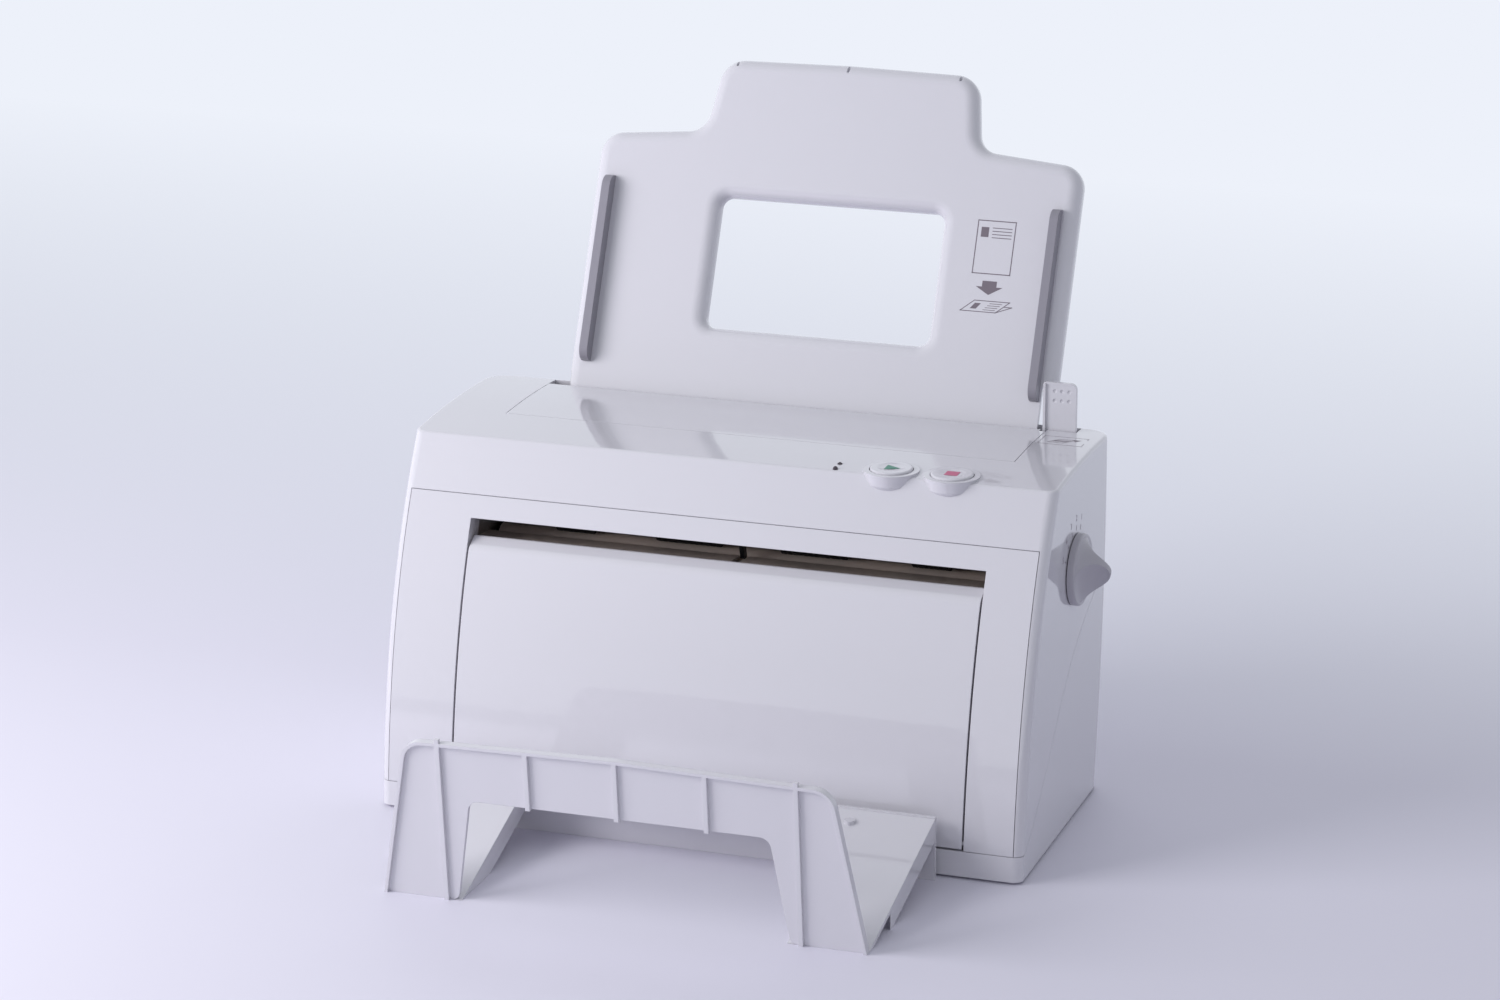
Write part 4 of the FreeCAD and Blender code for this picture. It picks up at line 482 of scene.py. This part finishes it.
class FOLDER_OT_casing(bpy.types.Operator):
    """Finish the casing, door, lid, trays and controls"""
    bl_idname = "folder.casing"
    bl_label = "Casing and trays"

    def execute(self, context):
        finish("White plastic", "base_casing", "hood", "front_panel", "front_door", "top_lid", "feed_tray",
               "catch_tray", "start_button", "stop_button", "feed_release_lever")
        finish("Grey plastic", "paper_guides", "paper_lift_plate")
        finish("Knob plastic", "selector_knob")
        finish("Rubber", "rubber_feet", "separator_pad")
        finish("Lamp lens", "lamp_lenses")
        finish("Black plastic", "power_inlet")
        return {"FINISHED"}


class FOLDER_OT_mechanism(bpy.types.Operator):
    """Finish the rollers, gears, plates and electrics"""
    bl_idname = "folder.mechanism"
    bl_label = "Mechanism"

    def execute(self, context):
        finish("Roller beige", "main_fold_roller", "entry_fold_roller", "lower_exit_roller",
               "upper_exit_shaft", "exit_guide")
        finish("Rubber", "exit_tyres", "pickup_tyres")
        finish("Steel", "pickup_shaft", "tie_bars", "gear_studs", "motor_shaft", "selector_shaft",
               "casing_screws")
        finish("Zinc sheet", "left_side_frame", "right_side_frame", "motor_housing", "fold_plate_outer",
               "fold_plate_inner", "upper_fold_plate_outer", "upper_fold_plate_inner", "feed_chute_upper",
               "feed_chute_lower")
        finish("Acetal", "main_roller_gear", "entry_roller_gear", "lower_exit_gear", "upper_exit_gear",
               "pickup_gear", "idler_gear", "reduction_gear")
        finish("Black plastic", "roller_bushes", "exit_sensor_flag", "fold_stop", "switch_bodies")
        finish("Circuit board", "control_board", "button_board")
        return {"FINISHED"}


class FOLDER_OT_tray_symbols(bpy.types.Operator):
    """Print the paper symbols on the feed tray"""
    bl_idname = "folder.tray_symbols"
    bl_label = "Tray symbols"

    def execute(self, context):
        prints = context.scene.folder_prints
        line = prints.line / MM
        shapes = []
        left, right, low, high = 71.4, 89.1, 67.8, 92.2
        shapes += stroke([(left, low), (right, low), (right, high), (left, high), (left, low)], line)
        for k in range(4):
            y = high - 3.2 - 1.5 * k
            shapes += stroke([(left + 7.2, y), (right - 1.6, y)], line * 0.8)
        shapes += [[(left + 1.8, high - 7.6), (left + 5.4, high - 7.6), (left + 5.4, high - 3.0),
                    (left + 1.8, high - 3.0)]]
        mid = 80.2
        shapes += [[(mid - 3.4, 64.5), (mid - 3.4, 61.8), (mid - 6.3, 61.8), (mid, 58.1), (mid + 6.3, 61.8),
                    (mid + 3.4, 61.8), (mid + 3.4, 64.5)]]
        low = 50.2
        shapes += stroke([(68.0, low), (84.6, low), (90.8, low + 5.1), (74.2, low + 5.1), (68.0, low)],
                         line * 0.8)
        shapes += stroke([(84.6, low), (92.0, low + 2.9), (88.2, low + 2.9)], line * 0.8)
        for k in range(4):
            shapes += stroke([(78.6 + k, low + 1.0 + 1.0 * k), (84.2 + k, low + 1.0 + 1.0 * k)], line * 0.6)
        shapes += [[(72.4, low + 1.2), (75.2, low + 1.2), (77.4, low + 3.9), (74.6, low + 3.9)]]
        origin, right_way, up, out = tray_axes()

        def place(x, y, height):
            return origin + right_way * (x * MM) + up * (y * MM) + out * height

        printed("tray_symbols", shapes, place, prints.thickness, bpy.data.materials["Grey ink"], "feed_tray")
        return {"FINISHED"}


class FOLDER_OT_button_symbols(bpy.types.Operator):
    """Print a start triangle and a stop square in the buttons' dished tops"""
    bl_idname = "folder.button_symbols"
    bl_label = "Button symbols"

    def execute(self, context):
        prints = context.scene.folder_prints
        size = 4.2
        triangle = [(-size * 0.62, -size * 0.8), (size, 0.0), (-size * 0.62, size * 0.8)]
        square = [(-size * 0.7, -size * 0.7), (size * 0.7, -size * 0.7), (size * 0.7, size * 0.7),
                  (-size * 0.7, size * 0.7)]
        for body, node, outline, ink in (("start", "start_button", triangle, "Green ink"),
                                         ("stop", "stop_button", square, "Red ink")):
            low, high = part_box(node)
            centre = ((low.x + high.x) / 2, (low.y + high.y) / 2)
            top = high.z - 0.5 * MM

            def place(x, y, height):
                dish = (x * x + y * y) / 80.0
                return Vector((centre[0] + x * MM, centre[1] + y * MM, top + dish * MM + height - 0.01 * MM))

            printed(body + "_symbol", [outline], place, prints.thickness, bpy.data.materials[ink], body)
        return {"FINISHED"}


class FOLDER_OT_dial_marks(bpy.types.Operator):
    """Print plain numbers and ticks round the selector knob"""
    bl_idname = "folder.dial_marks"
    bl_label = "Dial marks"

    def execute(self, context):
        prints = context.scene.folder_prints
        turn = joint("selector_turn")
        centre = Vector(turn["pos_m"])
        low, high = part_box("hood")
        wall = high.x
        first, last = turn["range_deg"]
        ticks = []
        for k in range(prints.dial_steps):
            angle = math.radians(DIAL_REST + first + (last - first) * k / (prints.dial_steps - 1))
            along = Vector((math.cos(angle), math.sin(angle)))
            inner = 17.8
            outer = 19.6
            ticks += stroke([(along.x * inner, along.y * inner), (along.x * outer, along.y * outer)], 0.6)
            text = bpy.data.curves.new("dial_number_%d" % (k + 1), "FONT")
            text.body = str(k + 1)
            text.size = 4.0 * MM
            text.align_x = "CENTER"
            text.align_y = "CENTER"
            text.extrude = prints.thickness
            text.materials.append(bpy.data.materials["Grey ink"])
            obj = bpy.data.objects.new("dial_number_%d" % (k + 1), text)
            bpy.context.scene.collection.objects.link(obj)
            across = Matrix(((0, 0, 1), (1, 0, 0), (0, 1, 0))).to_4x4()
            spot = Vector((wall, centre.y + along.x * prints.dial_radius,
                           centre.z + along.y * prints.dial_radius))
            obj.matrix_world = Matrix.Translation(spot) @ across
            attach(obj, "root")

        def place(x, y, height):
            return Vector((wall + height - 0.005 * MM, centre.y + x * MM, centre.z + y * MM))

        printed("dial_ticks", ticks, place, prints.thickness, bpy.data.materials["Grey ink"],
                "root")
        return {"FINISHED"}


def ring_spans(node):
    """Where each ring of a tyre node lies along X, with the axis and both radii."""
    low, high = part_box(node)
    centre = ((low.y + high.y) / 2, (low.z + high.z) / 2)
    outer = (high.z - low.z) / 2
    radii = [math.hypot(v.co.y - centre[0], v.co.z - centre[1]) for v in NODES[node].data.vertices]
    places = sorted({round(v.co.x, 5) for v in NODES[node].data.vertices})
    return [places[i:i + 2] for i in range(0, len(places), 2)], centre, outer, min(radii)


def grooved_tyre(name, span, centre, outer, bore, fittings, body):
    x0, x1 = span
    count = max(2, int((x1 - x0) / fittings.groove_pitch))
    pitch = (x1 - x0) / count
    depth = fittings.groove_depth
    profile = [(x0, bore), (x0, outer - 2 * depth), (x0 + depth, outer)]
    for k in range(1, count):
        middle = x0 + k * pitch
        profile += [(middle - 0.22 * pitch, outer), (middle - 0.12 * pitch, outer - depth),
                    (middle + 0.12 * pitch, outer - depth), (middle + 0.22 * pitch, outer)]
    profile += [(x1 - depth, outer), (x1, outer - 2 * depth), (x1, bore)]
    return turned(name, profile, centre, 48, bpy.data.materials["Rubber"], body)


class FOLDER_OT_tyres(bpy.types.Operator):
    """Build the rubber tyres with their round grooves"""
    bl_idname = "folder.tyres"
    bl_label = "Tyres"

    def execute(self, context):
        fittings = context.scene.folder_fittings
        for node, body in (("exit_tyres", "upper_exit"), ("pickup_tyres", "pickup")):
            spans, centre, outer, bore = ring_spans(node)
            if not spans or len(spans[-1]) != 2:
                raise RuntimeError(node + " is not made of plain rings")
            for k, span in enumerate(spans):
                piece = grooved_tyre("%s_%d" % (node, k + 1), span, centre, outer, bore, fittings, body)
                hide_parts(node)
        return {"FINISHED"}


class FOLDER_OT_hood_symbol(bpy.types.Operator):
    """Print the small sheet symbol beside the release lever"""
    bl_idname = "folder.hood_symbol"
    bl_label = "Hood symbol"

    def execute(self, context):
        prints = context.scene.folder_prints
        hood = NODES["hood"]

        def place(x, y, height):
            hit, spot, normal, index = hood.ray_cast(Vector((x * MM, y * MM, 0.4)), Vector((0, 0, -1)))
            if not hit:
                raise RuntimeError("the hood symbol misses the hood")
            return spot + Vector((0, 0, height))

        line = prints.line / MM * 0.7
        left, right, low, high = 124.0, 144.0, 39.0, 52.0
        shapes = stroke([(left, low), (right, low), (right, high), (left, high), (left, low)], line)
        for k in range(3):
            x = left + 3.6 + 1.2 * k
            y = low + 3.0 + 1.6 * k
            shapes += stroke([(x, y), (x + 7.0, y), (x + 9.0, y + 2.6), (x + 2.0, y + 2.6), (x, y)], line)
        shapes += [[(137.6, 48.4), (141.6, 48.4), (139.6, 45.2)]]
        printed("hood_symbol", shapes, place, prints.thickness, bpy.data.materials["Grey ink"], "root")
        return {"FINISHED"}


class FOLDER_OT_screw_recess_shade(bpy.types.Operator):
    """Lay a thin black cross on each screw head under the machine, as painted shade for a cross recess."""
    bl_idname = "folder.screw_recesses"
    bl_label = "Screw recesses"

    def execute(self, context):
        low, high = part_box("casing_screws")
        heads = [v.co for v in NODES["casing_screws"].data.vertices if v.co.z < low.z + 0.02 * MM]
        groups = []
        for corner in heads:
            for group in groups:
                if (group[0] - corner).length < 10 * MM:
                    group.append(corner)
                    break
            else:
                groups.append([corner])
        shapes = []
        for group in groups:
            x = (min(c.x for c in group) + max(c.x for c in group)) / 2 / MM
            y = (min(c.y for c in group) + max(c.y for c in group)) / 2 / MM
            for a in (45.0, 135.0):
                dx = 1.7 * math.cos(math.radians(a))
                dy = 1.7 * math.sin(math.radians(a))
                shapes += stroke([(x - dx, y - dy), (x + dx, y + dy)], 0.7)

        def place(x, y, height):
            return Vector((x * MM, y * MM, low.z + 0.02 * MM - height))

        # Painted shade: each black cross stands in for the shade inside a screw's cross recess; nothing is
        # cut into the heads.
        printed("screw_recess_shade", shapes, place, 0.04 * MM, bpy.data.materials["Black plastic"],
                "root")
        return {"FINISHED"}


class FOLDER_OT_stage(bpy.types.Operator):
    """Set the floor, the lights and the camera"""
    bl_idname = "folder.stage"
    bl_label = "Stage"

    def execute(self, context):
        scene = context.scene
        stage = scene.folder_stage
        scene.view_settings.view_transform = "Standard"
        self.floor(stage)
        self.world(scene, stage)
        self.softboxes(stage)
        self.camera(scene, stage)
        return {"FINISHED"}

    def floor(self, stage):
        mesh = bpy.data.meshes.new("floor")
        mesh.from_pydata([(-FLOOR_REACH, -FLOOR_REACH, 0), (FLOOR_REACH, -FLOOR_REACH, 0),
                          (FLOOR_REACH, FLOOR_REACH, 0), (-FLOOR_REACH, FLOOR_REACH, 0)], [],
                         [(0, 1, 2, 3)])
        obj = bpy.data.objects.new("floor", mesh)
        bpy.context.scene.collection.objects.link(obj)
        material = bpy.data.materials.new("Floor")
        material.use_nodes = True
        tree = material.node_tree
        principled = tree.nodes["Principled BSDF"]
        place = tree.nodes.new("ShaderNodeTexCoord").outputs["Object"]
        split = add_node(tree, "ShaderNodeSeparateXYZ", [(place, 0)])
        depth = add_node(tree, "ShaderNodeMapRange", [(split.outputs["Y"], "Value")])
        depth.inputs["From Min"].default_value = FADE_NEAR
        depth.inputs["From Max"].default_value = FADE_FAR
        # Painted shade: the floor's base colour runs from the darker near tone in front of and round the
        # machine to the lighter backdrop tone further back, standing in for the light falling off toward the
        # front.
        near = (*stage.floor, 1.0)
        far = (*stage.backdrop, 1.0)
        colour = blend_colour(tree, depth.outputs[0], near, far)
        tree.links.new(colour, principled.inputs["Base Color"])
        principled.inputs["Roughness"].default_value = 0.6
        glow = tree.nodes.new("ShaderNodeEmission")
        glow.inputs["Color"].default_value = far
        mix = tree.nodes.new("ShaderNodeMixShader")
        tree.links.new(maths(tree, "MULTIPLY", self.seen_directly(tree), depth.outputs[0]), mix.inputs[0])
        tree.links.new(principled.outputs[0], mix.inputs[1])
        tree.links.new(glow.outputs[0], mix.inputs[2])
        tree.links.new(mix.outputs[0], tree.nodes["Material Output"].inputs["Surface"])
        mesh.materials.append(material)

    def seen_directly(self, tree):
        """1 for rays that show the backdrop, 0 for rays that only carry light"""
        paths = tree.nodes.new("ShaderNodeLightPath")
        mirrored = maths(tree, "MAXIMUM", paths.outputs["Is Glossy Ray"],
                         paths.outputs["Is Transmission Ray"])
        return maths(tree, "MAXIMUM", paths.outputs["Is Camera Ray"], mirrored)

    def world(self, scene, stage):
        world = bpy.data.worlds.new("Studio")
        scene.world = world
        world.use_nodes = True
        tree = world.node_tree
        background = tree.nodes["Background"]
        strength = add_node(tree, "ShaderNodeMix", [(self.seen_directly(tree), 0)])
        strength.inputs[2].default_value = stage.daylight
        strength.inputs[3].default_value = 1.0
        background.inputs["Color"].default_value = (*stage.backdrop, 1.0)
        tree.links.new(strength.outputs[0], background.inputs["Strength"])

    def softboxes(self, stage):
        for name, spot, aim, size, power, colour in (
                ("Left softbox", (-0.85, -0.62, 0.55), (0.0, 0.0, 0.10), 0.7,
                 stage.softbox, (0.98, 0.97, 1.0)),
                ("Back softbox", (-0.7, 2.4, 1.35), (0.0, 0.2, 0.1), 2.6,
                 stage.back_light, (0.93, 0.94, 1.0))):
            light = bpy.data.lights.new(name, "AREA")
            light.shape = "SQUARE"
            light.size = size
            light.energy = power
            light.color = colour
            obj = bpy.data.objects.new(name, light)
            bpy.context.scene.collection.objects.link(obj)
            obj.location = spot
            obj.visible_glossy = False
            obj.rotation_euler = (Vector(aim) - Vector(spot)).to_track_quat("-Z", "Y").to_euler()

    def camera(self, scene, stage):
        camera = bpy.data.cameras.new("Camera")
        camera.lens = stage.lens
        camera.sensor_width = 36.0
        camera.sensor_fit = "HORIZONTAL"
        camera.clip_end = 30.0
        obj = bpy.data.objects.new("Camera", camera)
        scene.collection.objects.link(obj)
        yaw, pitch, roll = (math.radians(angle) for angle in CAMERA_TURN)
        right = Vector((math.cos(yaw), math.sin(yaw), 0))
        level = Vector((-math.sin(yaw), math.cos(yaw), 0))
        forward = level * math.cos(pitch) + Vector((0, 0, -math.sin(pitch)))
        up = level * math.sin(pitch) + Vector((0, 0, math.cos(pitch)))
        side = right * math.cos(roll) + up * math.sin(roll)
        top = up * math.cos(roll) - right * math.sin(roll)
        turn = Matrix((side, top, -forward)).transposed()
        obj.matrix_world = Matrix.Translation(CAMERA_PLACE) @ turn.to_4x4()
        scene.camera = obj


class FOLDER_PT_panel(bpy.types.Panel):
    """Steps that finish the paper folding machine"""
    bl_idname = "FOLDER_PT_panel"
    bl_label = "Paper folder"
    bl_space_type = "VIEW_3D"
    bl_region_type = "UI"
    bl_category = "Folder"

    def draw(self, context):
        for operator in OPERATORS:
            self.layout.operator(operator.bl_idname)
        for name in SETTINGS:
            group = getattr(context.scene, name)
            for key in group.__annotations__:
                self.layout.prop(group, key)


SETTINGS = {
    "folder_finish": FinishSettings,
    "folder_prints": PrintSettings,
    "folder_fittings": FittingSettings,
    "folder_stage": StageSettings,
}
OPERATORS = (
    FOLDER_OT_materials,
    FOLDER_OT_casing,
    FOLDER_OT_mechanism,
    FOLDER_OT_tray_symbols,
    FOLDER_OT_button_symbols,
    FOLDER_OT_dial_marks,
    FOLDER_OT_tyres,
    FOLDER_OT_hood_symbol,
    FOLDER_OT_screw_recess_shade,
    FOLDER_OT_stage,
)


def register():
    for group in SETTINGS.values():
        bpy.utils.register_class(group)
    for name, group in SETTINGS.items():
        setattr(bpy.types.Scene, name, PointerProperty(type=group))
    for operator in OPERATORS:
        bpy.utils.register_class(operator)
    bpy.utils.register_class(FOLDER_PT_panel)


def unregister():
    bpy.utils.unregister_class(FOLDER_PT_panel)
    for operator in reversed(OPERATORS):
        bpy.utils.unregister_class(operator)
    for name in SETTINGS:
        delattr(bpy.types.Scene, name)
    for group in reversed(list(SETTINGS.values())):
        bpy.utils.unregister_class(group)


def main():
    register()
    for operator in OPERATORS:
        family, step = operator.bl_idname.split(".")
        getattr(getattr(bpy.ops, family), step)()


if __name__ == "__main__":
    main()
